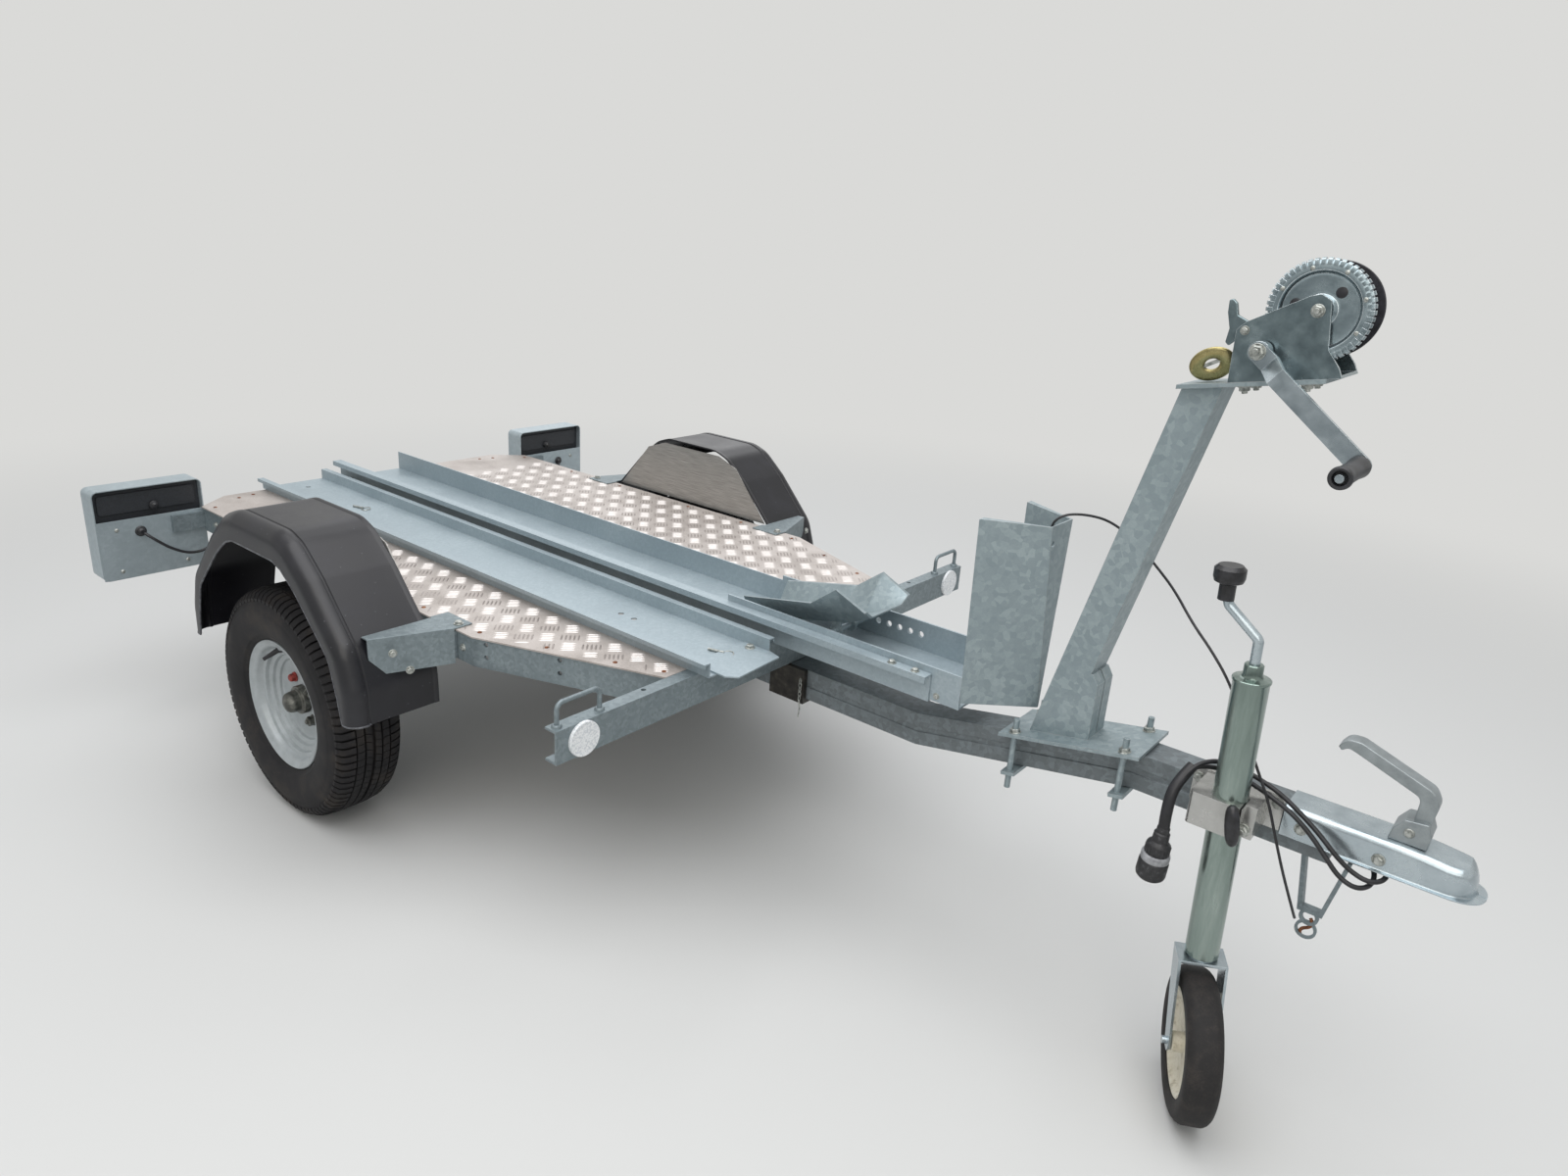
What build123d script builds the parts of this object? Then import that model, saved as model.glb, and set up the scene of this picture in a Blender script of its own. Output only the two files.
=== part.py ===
from build123d import *
import math
import os

# Single-motorcycle road trailer, parked on its two road wheels and its jockey wheel
# Millimetres, X forward to the coupling, Y to the left, Z up, ground at Z = 0
os.makedirs("parts", exist_ok=True)

# Overall reach, measured from the axle line of the road wheels
nose_reach = 1975.0
rear_reach = 745.0
axle_x = (rear_reach - nose_reach) / 2

# Road wheels, 145/80 R10 on a 10 inch rim
tyre_r = 243.0
tyre_half_w = 72.5
tread_half_w = 53.0
rim_flange_r = 136.5
rim_half_w = 60.0
bead_r = 127.0
disc_y = 12.0
hub_r = 55.0

# Bed frame and deck
deck_top = 483.5
deck_t = 3.0
deck_rear = 728.0
deck_corner = 666.0
deck_wide_front = 430.0
frame_h = 57.0
frame_t = 4.0
frame_flange = 30.0
frame_top = deck_top - deck_t
frame_bottom = frame_top - frame_h
frame_half_w = 478.0
frame_nose_half_w = frame_half_w - 138
spine_half_w = 40.0
deck_half_w = frame_half_w + 3
wheel_y = frame_half_w + 102
frame_hole_r = 4.5

# Front crossbeam, a channel with its web to the front
beam_x = 823.0
beam_half_l = 605.0
beam_h = 58.0
beam_flange = 27.0
beam_t = 4.0
reflector_y = beam_half_l - 53.5
reflector_r = 30.0
rail_rod_r = 4.0
rope_rail_y = (beam_half_l - 98, beam_half_l - 12)
rope_rail_top = 523.0

# Axle, rubber sprung with trailing arms
beam_axle_x = 130.0
beam_axle_z = 352.0
axle_half_l = frame_half_w - 53
axle_sq = 50.0
arm_t = 18.0
stub_r = 15.0

# Mudguards
guard_mid = 30.0
guard_t = 4.0
guard_in_y = frame_half_w + 22
guard_out_y = frame_half_w + 200
guard_roll_r = 28.0
guard_bend_r = 40.0
guard_half_profile = [(318.0, 330.0), (316.0, 395.0), (292.0, 470.0), (191.0, 578.0), (129.0, 629.0), (87.0, 644.0)]
guard_mouth_half = [(292.0, 300.0), (256.0, 448.0), (142.0, 557.0), (90.0, 588.0)]
panel_half_profile = [(270.0, 484.0), (163.0, 608.0), (100.0, 630.0)]
bracket_foot = 345.0
bracket_h = 68.0

# Tail lamp boxes
box_front = -674.0
box_rear = -735.0
box_in_y = frame_half_w - 6
box_out_y = frame_half_w + 232
box_bottom = 337.0
box_top = 552.0
box_t = 2.5
box_plate_top = 480.0
box_corner_r = 14.0

# Wheel rail, front channel, wheel stop and cradle
rail_rear = -725.0
rail_front = 1163.0
rail_half_w = 89.0
rail_h = 51.0
rail_t = 3.0
rail_lip = 20.0
chan_rear = 700.0
chan_front = 1220.0
chan_half_w = 85.5
chan_t = 4.0
chan_top = 546.0
stop_bottom = 500.0
stop_top = 817.0
rod_x = 917.0
rod_z = 520.0
rod_r = 6.0

# Loading ramp stowed on the deck
ramp_rear = -743.0
ramp_front = 848.0
ramp_near_y = -306.0
ramp_far_y = -119.0
ramp_h = 28.0
ramp_t = 3.0
ramp_lip = 12.0
ramp_edge = 8.0

# Drawbar
bar_half_w = 30.0
bar_h = 62.0
bar_rear = 160.0
bar_low_top = frame_bottom
bar_bend_1 = 1115.0
bar_bend_2 = 1500.0
bar_rise = 75.0
bar_front = 1790.0

# Winch post
plate_rear = 1286.0
plate_front = 1518.0
plate_half_w = 62.0
plate_t = 6.0
post_half_w = 30.0
post_base = (1324.0, 1381.0)
post_head = (1466.0, 1521.0)
post_foot_z = 474.0
post_head_z = 1052.0
stud_x = (1310.0, 1491.0)
stud_y = 50.0
stud_r = 5.0

# Winch
winch_slope = 10.4
winch_x = 1556.0
winch_z = 1076.0
winch_half_w = 45.0
gear_x = 1619.0
gear_z = 1173.5
gear_module = 3.1
gear_teeth = 40
pinion_teeth = 10
mesh_angle = 226.0
gear_y = -34.0
gear_t = 8.0
crank_end = (1716.0, 1001.0)
crank_near_y = -66.0
crank_far_y = -88.0

# Coupling
coupling_rear = 1722.0
coupling_half_w = 35.0
ball_r = 25.3
ball_x = nose_reach - 57
coupling_bottom = 455.0
coupling_top = 503.0

# Jockey stand
jockey_x = 1651.0
jockey_y = -85.0
jockey_tube_foot = 250.4
jockey_lean = 2.5
jockey_tube_r = 24.0
jockey_tube_l = 440.0
jockey_top = jockey_tube_foot + jockey_tube_l * math.cos(math.radians(jockey_lean))
clamp_z = 489.0
jockey_wheel_r = 112.5
jockey_wheel_half_w = 25.0
jockey_shoulder = 10.0
jockey_trail = 34.0
jockey_heading = -63.0
crank_rod_r = 7.0


def at(x):
    return axle_x + x


# Deck sheet, aluminium tread plate over the whole frame
with BuildPart() as deck_sheet:
    with BuildSketch(Plane.XY.offset(frame_top)):
        half = [
            (at(-deck_rear), deck_half_w - 81),
            (at(-deck_corner), deck_half_w),
            (at(deck_wide_front), deck_half_w),
            (at(beam_x - beam_flange - 1), frame_nose_half_w + 5),
        ]
        with BuildLine():
            Polyline(*half, *[(x, -y) for x, y in reversed(half)], close=True)
        make_face()
    extrude(amount=deck_t)
deck_sheet.part.label = "deck_sheet"
export_step(deck_sheet.part, "parts/deck_sheet.step")

# Chassis frame, welded channels with a spine under the rail
with BuildPart() as chassis_frame:
    with BuildSketch(Plane.XY.offset(frame_bottom)):
        half = [
            (at(-deck_corner), frame_half_w),
            (at(deck_wide_front), frame_half_w),
            (at(beam_x - beam_flange), frame_nose_half_w),
        ]
        with BuildLine():
            Polyline(*half, *[(x, -y) for x, y in reversed(half)], close=True)
        make_face()
    extrude(amount=frame_h)
    with BuildSketch(Plane.XY.offset(frame_bottom)):
        half = [
            (at(-deck_corner + frame_flange), frame_half_w - frame_flange),
            (at(deck_wide_front - 5), frame_half_w - frame_flange),
            (at(beam_x - beam_flange - 40), frame_nose_half_w - 22),
        ]
        with BuildLine():
            Polyline(*half, *[(x, -y) for x, y in reversed(half)], close=True)
        make_face()
    extrude(amount=frame_h, mode=Mode.SUBTRACT)
    with BuildSketch(Plane.XY.offset(frame_bottom + frame_t)):
        half = [
            (at(-deck_corner + frame_t), frame_half_w - frame_t),
            (at(deck_wide_front - 1), frame_half_w - frame_t),
            (at(beam_x - beam_flange - frame_t), frame_nose_half_w - frame_t),
        ]
        with BuildLine():
            Polyline(*half, *[(x, -y) for x, y in reversed(half)], close=True)
        make_face()
    extrude(amount=frame_h - 2 * frame_t, mode=Mode.SUBTRACT)
    spine_l = beam_x - beam_flange + deck_corner
    with Locations((at(-deck_corner) + spine_l / 2, 0, frame_bottom + frame_h / 2)):
        Box(spine_l, 2 * spine_half_w, frame_h)
    for cross_x, inset in ((-200.0, 18), (beam_axle_x, 18), (600.0, 83)):
        with Locations((at(cross_x), 0, frame_bottom + 20)):
            Box(40, 2 * (frame_half_w - inset), 40)
    # Two pairs of bolt holes through each slanting front member
    slant = (frame_half_w - frame_nose_half_w) / (beam_x - beam_flange - deck_wide_front)
    for hole_x in (456, 598):
        hole_y = frame_half_w - slant * (hole_x - deck_wide_front)
        for hole_z in (frame_top - 34.5, frame_top - 9):
            for side in (-1, 1):
                with Locations((at(hole_x), side * hole_y, hole_z)):
                    Cylinder(frame_hole_r, 30, rotation=(90, 0, 0), mode=Mode.SUBTRACT)
    # Tie bar carrying the two lamp boxes behind the rear corners
    for side in (-1, 1):
        with Locations((at(-668), side * (frame_half_w + 22), 452)):
            Box(12, 100, 40)
chassis_frame.part.label = "chassis_frame"
export_step(chassis_frame.part, "parts/chassis_frame.step")

# Brackets that carry the mudguards, folded strip with a top plate and a hanging flange
bracket_table = [
    # name, side, way from the guard's middle
    ("right_front_bracket", -1, 1),
    ("right_rear_bracket", -1, -1),
    ("left_front_bracket", 1, 1),
    ("left_rear_bracket", 1, -1),
]
bracket_out = guard_half_profile[2][0]
for name, side, way in bracket_table:
    # Outline as distance from the guard's middle and from the centre line
    top_plate = [
        (bracket_out - 16.8, guard_out_y - 51),
        (bracket_out + 8, guard_out_y - 51),
        (bracket_out + 61, deck_half_w + 3),
        (bracket_out + 61, deck_half_w - 36),
        (bracket_out - 16.8, deck_half_w - 36),
    ]
    flange = [top_plate[1], top_plate[2], (bracket_out + 58, deck_half_w + 3), (bracket_out + 5, guard_out_y - 51)]
    with BuildPart() as guard_bracket:
        with BuildSketch(Plane.XY.offset(deck_top)):
            with BuildLine():
                Polyline(*[(at(guard_mid + way * x), side * y) for x, y in top_plate], close=True)
            make_face()
        extrude(amount=3)
        with BuildSketch(Plane.XY.offset(deck_top - bracket_h)):
            with BuildLine():
                Polyline(*[(at(guard_mid + way * x), side * y) for x, y in flange], close=True)
            make_face()
        extrude(amount=bracket_h + 1)
        foot_mid = (frame_half_w + deck_half_w + 3) / 2
        with Locations((at(guard_mid + way * (bracket_foot + 2)), side * foot_mid, frame_top - 28)):
            Box(11, deck_half_w + 3 - frame_half_w, 54)
        # The end by the wheel follows the back of the guard
        face = [(bracket_out - 11.8, 490), (bracket_out - 11.8, 483), (bracket_out + 0.4, 470.4)]
        face += [(guard_half_profile[1][0] + 0.4, guard_half_profile[1][1]), (400, 380), (150, 380), (150, 490)]
        with BuildSketch(Plane.XZ.offset(-side * (deck_half_w + 3.5))):
            with BuildLine():
                Polyline(*[(at(guard_mid + way * x), z) for x, z in face], close=True)
            make_face()
        extrude(amount=-side * 160, mode=Mode.SUBTRACT)
    guard_bracket.part.label = name
    export_step(guard_bracket.part, f"parts/{name}.step")

# Front crossbeam with its two rope rails
with BuildPart() as front_crossbeam:
    with BuildSketch(Plane.XZ.offset(-beam_half_l)):
        with Locations((at(beam_x - beam_flange / 2), deck_top - beam_h / 2)):
            Rectangle(beam_flange, beam_h)
        with Locations((at(beam_x - beam_flange / 2 - beam_t), deck_top - beam_h / 2)):
            Rectangle(beam_flange, beam_h - 2 * beam_t, mode=Mode.SUBTRACT)
    extrude(amount=2 * beam_half_l)
    for side in (-1, 1):
        rail_x = at(beam_x - beam_flange / 2)
        y1, y2 = side * rope_rail_y[0], side * rope_rail_y[1]
        with BuildLine() as rope_path:
            FilletPolyline(
                (rail_x, y1, deck_top - 3),
                (rail_x, y1, rope_rail_top),
                (rail_x, y2, rope_rail_top),
                (rail_x, y2, deck_top - 3),
                radius=12,
            )
        with BuildSketch(Plane(origin=(rail_x, y1, deck_top - 3), z_dir=(0, 0, 1))):
            Circle(rail_rod_r)
        sweep(path=rope_path.wires()[0])
        with Locations((at(beam_x - beam_flange + 8), side * (beam_half_l - 199), deck_top)):
            Cylinder(frame_hole_r, 30, mode=Mode.SUBTRACT)
front_crossbeam.part.label = "front_crossbeam"
export_step(front_crossbeam.part, "parts/front_crossbeam.step")

# Front reflectors, one at each end of the crossbeam
for name, side in (("right", -1), ("left", 1)):
    with BuildPart() as reflector:
        with BuildSketch(Plane.YZ.offset(at(beam_x))):
            with Locations((side * reflector_y, deck_top - beam_h / 2)):
                Circle(reflector_r)
        extrude(amount=6)
    reflector.part.label = f"{name}_reflector"
    export_step(reflector.part, f"parts/{name}_reflector.step")

# Axle beam with trailing arms and stub axles
with BuildPart() as axle_beam:
    with Locations((at(beam_axle_x), 0, beam_axle_z)):
        Box(axle_sq, 2 * axle_half_l, axle_sq)
    for side in (-1, 1):
        with Locations((at(beam_axle_x), side * (axle_half_l - 25), (beam_axle_z + frame_bottom) / 2)):
            Box(90, 44, frame_bottom - beam_axle_z)
        with BuildSketch(Plane.XZ.offset(-side * (axle_half_l + arm_t / 2))):
            with BuildLine():
                Polyline(
                    (at(beam_axle_x + 32), beam_axle_z - 20),
                    (at(beam_axle_x + 20), beam_axle_z + 32),
                    (at(beam_axle_x - 25), beam_axle_z + 28),
                    (at(-26), tyre_r + 14),
                    (at(-16), tyre_r - 26),
                    (at(18), tyre_r - 24),
                    close=True,
                )
            make_face()
        extrude(amount=arm_t / 2, both=True)
        with Locations((at(0), side * (axle_half_l + (wheel_y + disc_y - axle_half_l) / 2), tyre_r)):
            Cylinder(stub_r, wheel_y + disc_y - axle_half_l, rotation=(90, 0, 0))
axle_beam.part.label = "axle_beam"
export_step(axle_beam.part, "parts/axle_beam.step")

# Road wheels, each side turned about its own axle line
for name, side in (("right", -1), ("left", 1)):
    wheel_plane = Plane(origin=(at(0), side * wheel_y, tyre_r), x_dir=(1, 0, 0), z_dir=(0, side, 0))

    # Hub with its bearing barrel, flange and cap; the stub axle passes into it
    with BuildPart() as hub:
        with BuildSketch(Plane.XZ):
            with BuildLine():
                Polyline(
                    (stub_r + 0.05, -105),
                    (34, -105),
                    (34, disc_y - 12),
                    (hub_r, disc_y - 12),
                    (hub_r, disc_y - 4.5),
                    (30, disc_y - 4.5),
                    (30, disc_y + 34),
                    (22, disc_y + 42),
                    (0, disc_y + 42),
                    (0, disc_y + 1),
                    (stub_r + 0.05, disc_y + 1),
                    close=True,
                )
            make_face()
        revolve(axis=Axis.Z)
    hub_placed = wheel_plane.location * hub.part
    hub_placed.label = f"{name}_hub"
    export_step(hub_placed, f"parts/{name}_hub.step")

    # Pressed steel rim, well base and disc in one shell
    with BuildPart() as rim:
        with BuildSketch(Plane.XZ):
            with BuildLine():
                Polyline(
                    (30.05, disc_y - 4),
                    (84, disc_y - 4),
                    (92, disc_y + 6),
                    (103, disc_y + 6),
                    (103, -18),
                    (122, -28),
                    (124, -56),
                    (rim_flange_r, -rim_half_w),
                    (rim_flange_r, -rim_half_w + 4),
                    (bead_r + 0.5, -rim_half_w + 9),
                    (126, -20),
                    (107, -12),
                    (107, 20),
                    (126, 28),
                    (bead_r + 0.5, rim_half_w - 9),
                    (rim_flange_r, rim_half_w - 4),
                    (rim_flange_r, rim_half_w),
                    (124, 56),
                    (121, 32),
                    (111, 25),
                    (99, disc_y + 10),
                    (89, disc_y + 10),
                    (81, disc_y),
                    (30.05, disc_y),
                    close=True,
                )
            make_face()
        revolve(axis=Axis.Z)
    rim_placed = wheel_plane.location * rim.part
    rim_placed.label = f"{name}_rim"
    export_step(rim_placed, f"parts/{name}_rim.step")

    # Tyre carcass; the tread blocks are left to the finish model
    with BuildPart() as tyre:
        with BuildSketch(Plane.XZ):
            with BuildLine():
                Polyline(
                    (bead_r + 0.6, -rim_half_w + 12),
                    (rim_flange_r + 6, -rim_half_w + 2),
                    (168, -tyre_half_w + 3),
                    (190, -tyre_half_w),
                    (212, -tyre_half_w + 3),
                    (tyre_r - 8, -tread_half_w - 7),
                    (tyre_r - 2, -tread_half_w + 6),
                    (tyre_r, -24),
                    (tyre_r, 24),
                    (tyre_r - 2, tread_half_w - 6),
                    (tyre_r - 8, tread_half_w + 7),
                    (212, tyre_half_w - 3),
                    (190, tyre_half_w),
                    (168, tyre_half_w - 3),
                    (rim_flange_r + 6, rim_half_w - 2),
                    (bead_r + 0.6, rim_half_w - 12),
                    close=True,
                )
            make_face()
        revolve(axis=Axis.Z)
    tyre_placed = wheel_plane.location * tyre.part
    tyre_placed.label = f"{name}_tyre"
    export_step(tyre_placed, f"parts/{name}_tyre.step")

    # Mudguard, moulded black plastic with a rolled outer edge and an open mouth
    outer = [(at(guard_mid - x), z) for x, z in guard_half_profile]
    outer += [(at(guard_mid + x), z) for x, z in reversed(guard_half_profile)]
    mouth = [(at(guard_mid - x), z) for x, z in guard_mouth_half]
    mouth += [(at(guard_mid + x), z) for x, z in reversed(guard_mouth_half)]
    guard_low = guard_half_profile[0][1]
    with BuildPart() as mudguard:
        for wall, mode in ((0.0, Mode.ADD), (guard_t, Mode.SUBTRACT)):
            with BuildSketch(Plane.XZ.offset(-side * (guard_in_y - wall)), mode=Mode.PRIVATE) as guard_face:
                with BuildLine():
                    Polyline(*outer, close=True)
                make_face()
                bends = guard_face.vertices().filter_by(lambda corner: corner.Z > guard_low + 1)
                fillet(bends, radius=guard_bend_r)
                with Locations((at(guard_mid), guard_low)):
                    Rectangle(2 * guard_half_profile[0][0], 80)
                if wall:
                    offset(amount=-wall, kind=Kind.INTERSECTION, mode=Mode.REPLACE)
            roll_r = guard_roll_r - wall
            with BuildPart(mode=Mode.PRIVATE) as block:
                extrude(guard_face.sketch, amount=-side * (guard_out_y - guard_in_y - guard_roll_r + wall))
                # The rolled edge, three short steps round a quarter circle
                for turn in (0, 30, 60):
                    for angle in (math.radians(turn), math.radians(turn + 30)):
                        step_y = guard_out_y - guard_roll_r + roll_r * math.sin(angle)
                        inset = roll_r * (1 - math.cos(angle))
                        with BuildSketch(Plane.XZ.offset(-side * step_y)):
                            add(guard_face.sketch)
                            if inset:
                                offset(amount=-inset, kind=Kind.INTERSECTION, mode=Mode.REPLACE)
                    loft(ruled=True)
            add(block.part, mode=mode)
        with Locations((at(guard_mid), side * guard_out_y, guard_low - 50)):
            Box(900, 500, 100, mode=Mode.SUBTRACT)
        with BuildSketch(Plane.XZ.offset(-side * (guard_out_y + 1))):
            with BuildLine():
                Polyline(*mouth, close=True)
            make_face()
            fillet(vertices().filter_by(lambda corner: corner.Z > guard_low), radius=24)
        extrude(amount=side * (guard_roll_r + 4), mode=Mode.SUBTRACT)
    mudguard.part.label = f"{name}_mudguard"
    export_step(mudguard.part, f"parts/{name}_mudguard.step")

    # Brushed aluminium panel closing the inner side of the guard
    shape = [(at(guard_mid - x), z) for x, z in panel_half_profile]
    shape += [(at(guard_mid + x), z) for x, z in reversed(panel_half_profile)]
    with BuildPart() as guard_panel:
        with BuildSketch(Plane.XZ.offset(-side * guard_in_y)):
            with BuildLine():
                Polyline(*shape, close=True)
            make_face()
        extrude(amount=side * 2)
    guard_panel.part.label = f"{name}_guard_panel"
    export_step(guard_panel.part, f"parts/{name}_guard_panel.step")

    # Lamp box, a folded tray whose front plate stops short of the top
    box_mid_y = side * (box_in_y + box_out_y) / 2
    box_w = box_out_y - box_in_y
    box_d = box_front - box_rear
    box_h = box_top - box_bottom
    with BuildPart() as lamp_box:
        for wall, mode in ((0.0, Mode.ADD), (box_t, Mode.SUBTRACT)):
            with BuildSketch(Plane.YZ.offset(at(box_rear) - wall)):
                with Locations((box_mid_y, (box_top + box_bottom) / 2)):
                    RectangleRounded(box_w - 2 * wall, box_h - 2 * wall, box_corner_r - wall)
            extrude(amount=box_d + 2 * wall, mode=mode)
        with Locations((at(box_front - box_t / 2), box_mid_y, (box_plate_top + box_bottom) / 2)):
            Box(box_t, box_w - 2 * box_t, box_plate_top - box_bottom - box_t)
        with Locations((at(box_front), side * (box_in_y + 146), 446)):
            Cylinder(8, 20, rotation=(0, 90, 0), mode=Mode.SUBTRACT)
    lamp_box.part.label = f"{name}_lamp_box"
    export_step(lamp_box.part, f"parts/{name}_lamp_box.step")

    # Tail lamp, a flat black body filling the box
    with BuildPart() as tail_lamp:
        with BuildSketch(Plane.YZ.offset(at(box_rear - 0.5))):
            with Locations((box_mid_y, (box_top + box_bottom) / 2)):
                RectangleRounded(box_w - 2 * box_t, box_h - 2 * box_t, box_corner_r - box_t)
        extrude(amount=box_d - 16)
        with BuildSketch(Plane.YZ.offset(at(box_rear + box_d - 17))):
            with Locations((box_mid_y, box_top - 38)):
                RectangleRounded(box_w - 26, 46, 8)
        extrude(amount=5)
        with Locations((at(box_rear + box_d - 10), side * (box_in_y + 107), box_top - 51)):
            Cylinder(9, 14, rotation=(0, 90, 0))
    tail_lamp.part.label = f"{name}_tail_lamp"
    export_step(tail_lamp.part, f"parts/{name}_tail_lamp.step")

# Main wheel rail, a channel with an outward lip on its near side
with BuildPart() as main_rail:
    with BuildSketch(Plane.YZ.offset(at(rail_rear))):
        with Locations((0, deck_top + rail_h / 2)):
            Rectangle(2 * rail_half_w, rail_h)
        with Locations((0, deck_top + rail_t + rail_h / 2)):
            Rectangle(2 * (rail_half_w - rail_t), rail_h, mode=Mode.SUBTRACT)
        with Locations((-rail_half_w - rail_lip / 2 + rail_t / 2, deck_top + rail_h - rail_t / 2)):
            Rectangle(rail_lip + rail_t, rail_t)
        with Locations((-rail_half_w - rail_lip + rail_t / 2, deck_top + rail_h - 6)):
            Rectangle(rail_t, 12)
    extrude(amount=rail_front - rail_rear)
    # Row of holes for the rod of the cradle
    for hole in range(6):
        with Locations((at(rod_x + 24 * hole), 0, rod_z)):
            Cylinder(rod_r + 0.5, 2 * rail_half_w + 2, rotation=(90, 0, 0), mode=Mode.SUBTRACT)
main_rail.part.label = "main_rail"
export_step(main_rail.part, "parts/main_rail.step")

# Front channel nested in the rail, with its row of setting holes and the cradle rod
with BuildPart() as front_channel:
    with BuildSketch(Plane.YZ.offset(at(chan_rear))):
        with Locations((0, (deck_top + rail_t + chan_top) / 2)):
            Rectangle(2 * chan_half_w, chan_top - deck_top - rail_t)
        with Locations((0, (deck_top + rail_t + chan_top) / 2 + chan_t)):
            Rectangle(2 * (chan_half_w - chan_t), chan_top - deck_top - rail_t, mode=Mode.SUBTRACT)
    extrude(amount=chan_front - chan_rear)
    for hole in range(5):
        with Locations((at(rod_x + 24 * (hole + 1)), 0, rod_z)):
            Cylinder(6, 2 * chan_half_w + 2, rotation=(90, 0, 0), mode=Mode.SUBTRACT)
    with Locations((at(rod_x), 0, rod_z)):
        Cylinder(rod_r, 2 * chan_half_w - 1, rotation=(90, 0, 0))
front_channel.part.label = "front_channel"
export_step(front_channel.part, "parts/front_channel.step")

# Wheel stop, folded sheet that narrows to a point at its foot
with BuildPart() as wheel_stop:
    for inset, mode in ((0.0, Mode.ADD), (3.0, Mode.SUBTRACT)):
        back = 0 if inset == 0 else 30
        side_y = 88.5 - inset
        foot_y = chan_half_w + 0.5 - inset
        with BuildSketch(Plane.XY.offset(stop_bottom)):
            with BuildLine():
                Polyline(
                    (at(chan_front + 1.2 - back), -foot_y),
                    (at(1320 - 2 * inset), -2),
                    (at(1320 - 2 * inset), 2),
                    (at(chan_front + 1.2 - back), foot_y),
                    close=True,
                )
            make_face()
        with BuildSketch(Plane.XY.offset(stop_top)):
            with BuildLine():
                Polyline(
                    (at(1214 - back), -side_y),
                    (at(1313 - inset), -37 + 0.8 * inset),
                    (at(1313 - inset), 37 - 0.8 * inset),
                    (at(1214 - back), side_y),
                    close=True,
                )
            make_face()
        loft(ruled=True, mode=mode)
    with Locations((at(1312), -26, 788)):
        Cylinder(5, 12, rotation=(0, 90, 0), mode=Mode.SUBTRACT)
wheel_stop.part.label = "wheel_stop"
export_step(wheel_stop.part, "parts/wheel_stop.step")

# Wheel cradle, a folded trough with raised front fins that rocks on the rod
cradle_sections = [
    # x, floor z, floor half width, top z, top half width
    (726.0, 499.0, 45.0, 546.0, 70.0),
    (891.0, 531.0, 24.0, 580.0, 75.0),
    (945.0, 545.0, 28.0, 621.0, 76.0),
    (1009.0, 578.0, 50.0, 594.0, 74.0),
]
with BuildPart() as wheel_cradle:
    for first, second in zip(cradle_sections, cradle_sections[1:]):
        for wall, mode in ((0.0, Mode.ADD), (3.0, Mode.SUBTRACT)):
            for x, floor_z, floor_w, top_z, top_w in (first, second):
                rim_z = top_z + (wall and 4)
                with BuildSketch(Plane.YZ.offset(at(x))):
                    with BuildLine():
                        Polyline(
                            (-top_w + wall, rim_z),
                            (-floor_w + wall, floor_z + wall),
                            (floor_w - wall, floor_z + wall),
                            (top_w - wall, rim_z),
                            close=True,
                        )
                    make_face()
            loft(ruled=True, mode=mode)
    with BuildSketch(Plane.XZ.offset(-26)):
        with Locations((at(rod_x), rod_z)):
            Circle(13)
        with Locations((at(rod_x), rod_z + 10)):
            Rectangle(20, 20)
    extrude(amount=52)
    with Locations((at(rod_x), 0, rod_z)):
        Box(40, 40, 40, mode=Mode.SUBTRACT)
        Cylinder(rod_r + 0.05, 80, rotation=(90, 0, 0), mode=Mode.SUBTRACT)
wheel_cradle.part.label = "wheel_cradle"
export_step(wheel_cradle.part, "parts/wheel_cradle.step")

# Loading ramp, a channel with turned-down lips and a tongue plate bolted to its front end
with BuildPart() as loading_ramp:
    ramp_mid_y = (ramp_near_y + ramp_far_y) / 2
    ramp_w = ramp_far_y - ramp_near_y
    wall_w = ramp_w - 2 * ramp_lip
    with BuildSketch(Plane.YZ.offset(at(ramp_rear))):
        with Locations((ramp_mid_y, deck_top + ramp_h / 2)):
            Rectangle(wall_w, ramp_h)
        with Locations((ramp_mid_y, deck_top + ramp_h - ramp_t / 2)):
            Rectangle(ramp_w, ramp_t)
        for side in (-1, 1):
            with Locations((ramp_mid_y + side * (ramp_w - ramp_t) / 2, deck_top + ramp_h - ramp_edge / 2)):
                Rectangle(ramp_t, ramp_edge)
        with Locations((ramp_mid_y, deck_top + ramp_t + ramp_h / 2)):
            Rectangle(wall_w - 2 * ramp_t, ramp_h, mode=Mode.SUBTRACT)
    extrude(amount=ramp_front - ramp_rear)
    # Holes for the lynch pins' pegs and for bolting the ramp down
    for hole_x in (-680, 529, 566):
        with Locations((at(hole_x), ramp_mid_y + 7, deck_top)):
            Cylinder(6, 20, mode=Mode.SUBTRACT)
    with BuildSketch(Plane.XY.offset(deck_top + ramp_t)):
        with BuildLine():
            Polyline(
                (at(790), ramp_mid_y - 64),
                (at(868), ramp_mid_y - 64),
                (at(888), ramp_mid_y - 48),
                (at(880), ramp_mid_y + 70),
                (at(852), ramp_mid_y + 78),
                (at(790), ramp_mid_y + 78),
                close=True,
            )
        make_face()
    extrude(amount=3)
loading_ramp.part.label = "loading_ramp"
export_step(loading_ramp.part, "parts/loading_ramp.step")

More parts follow.
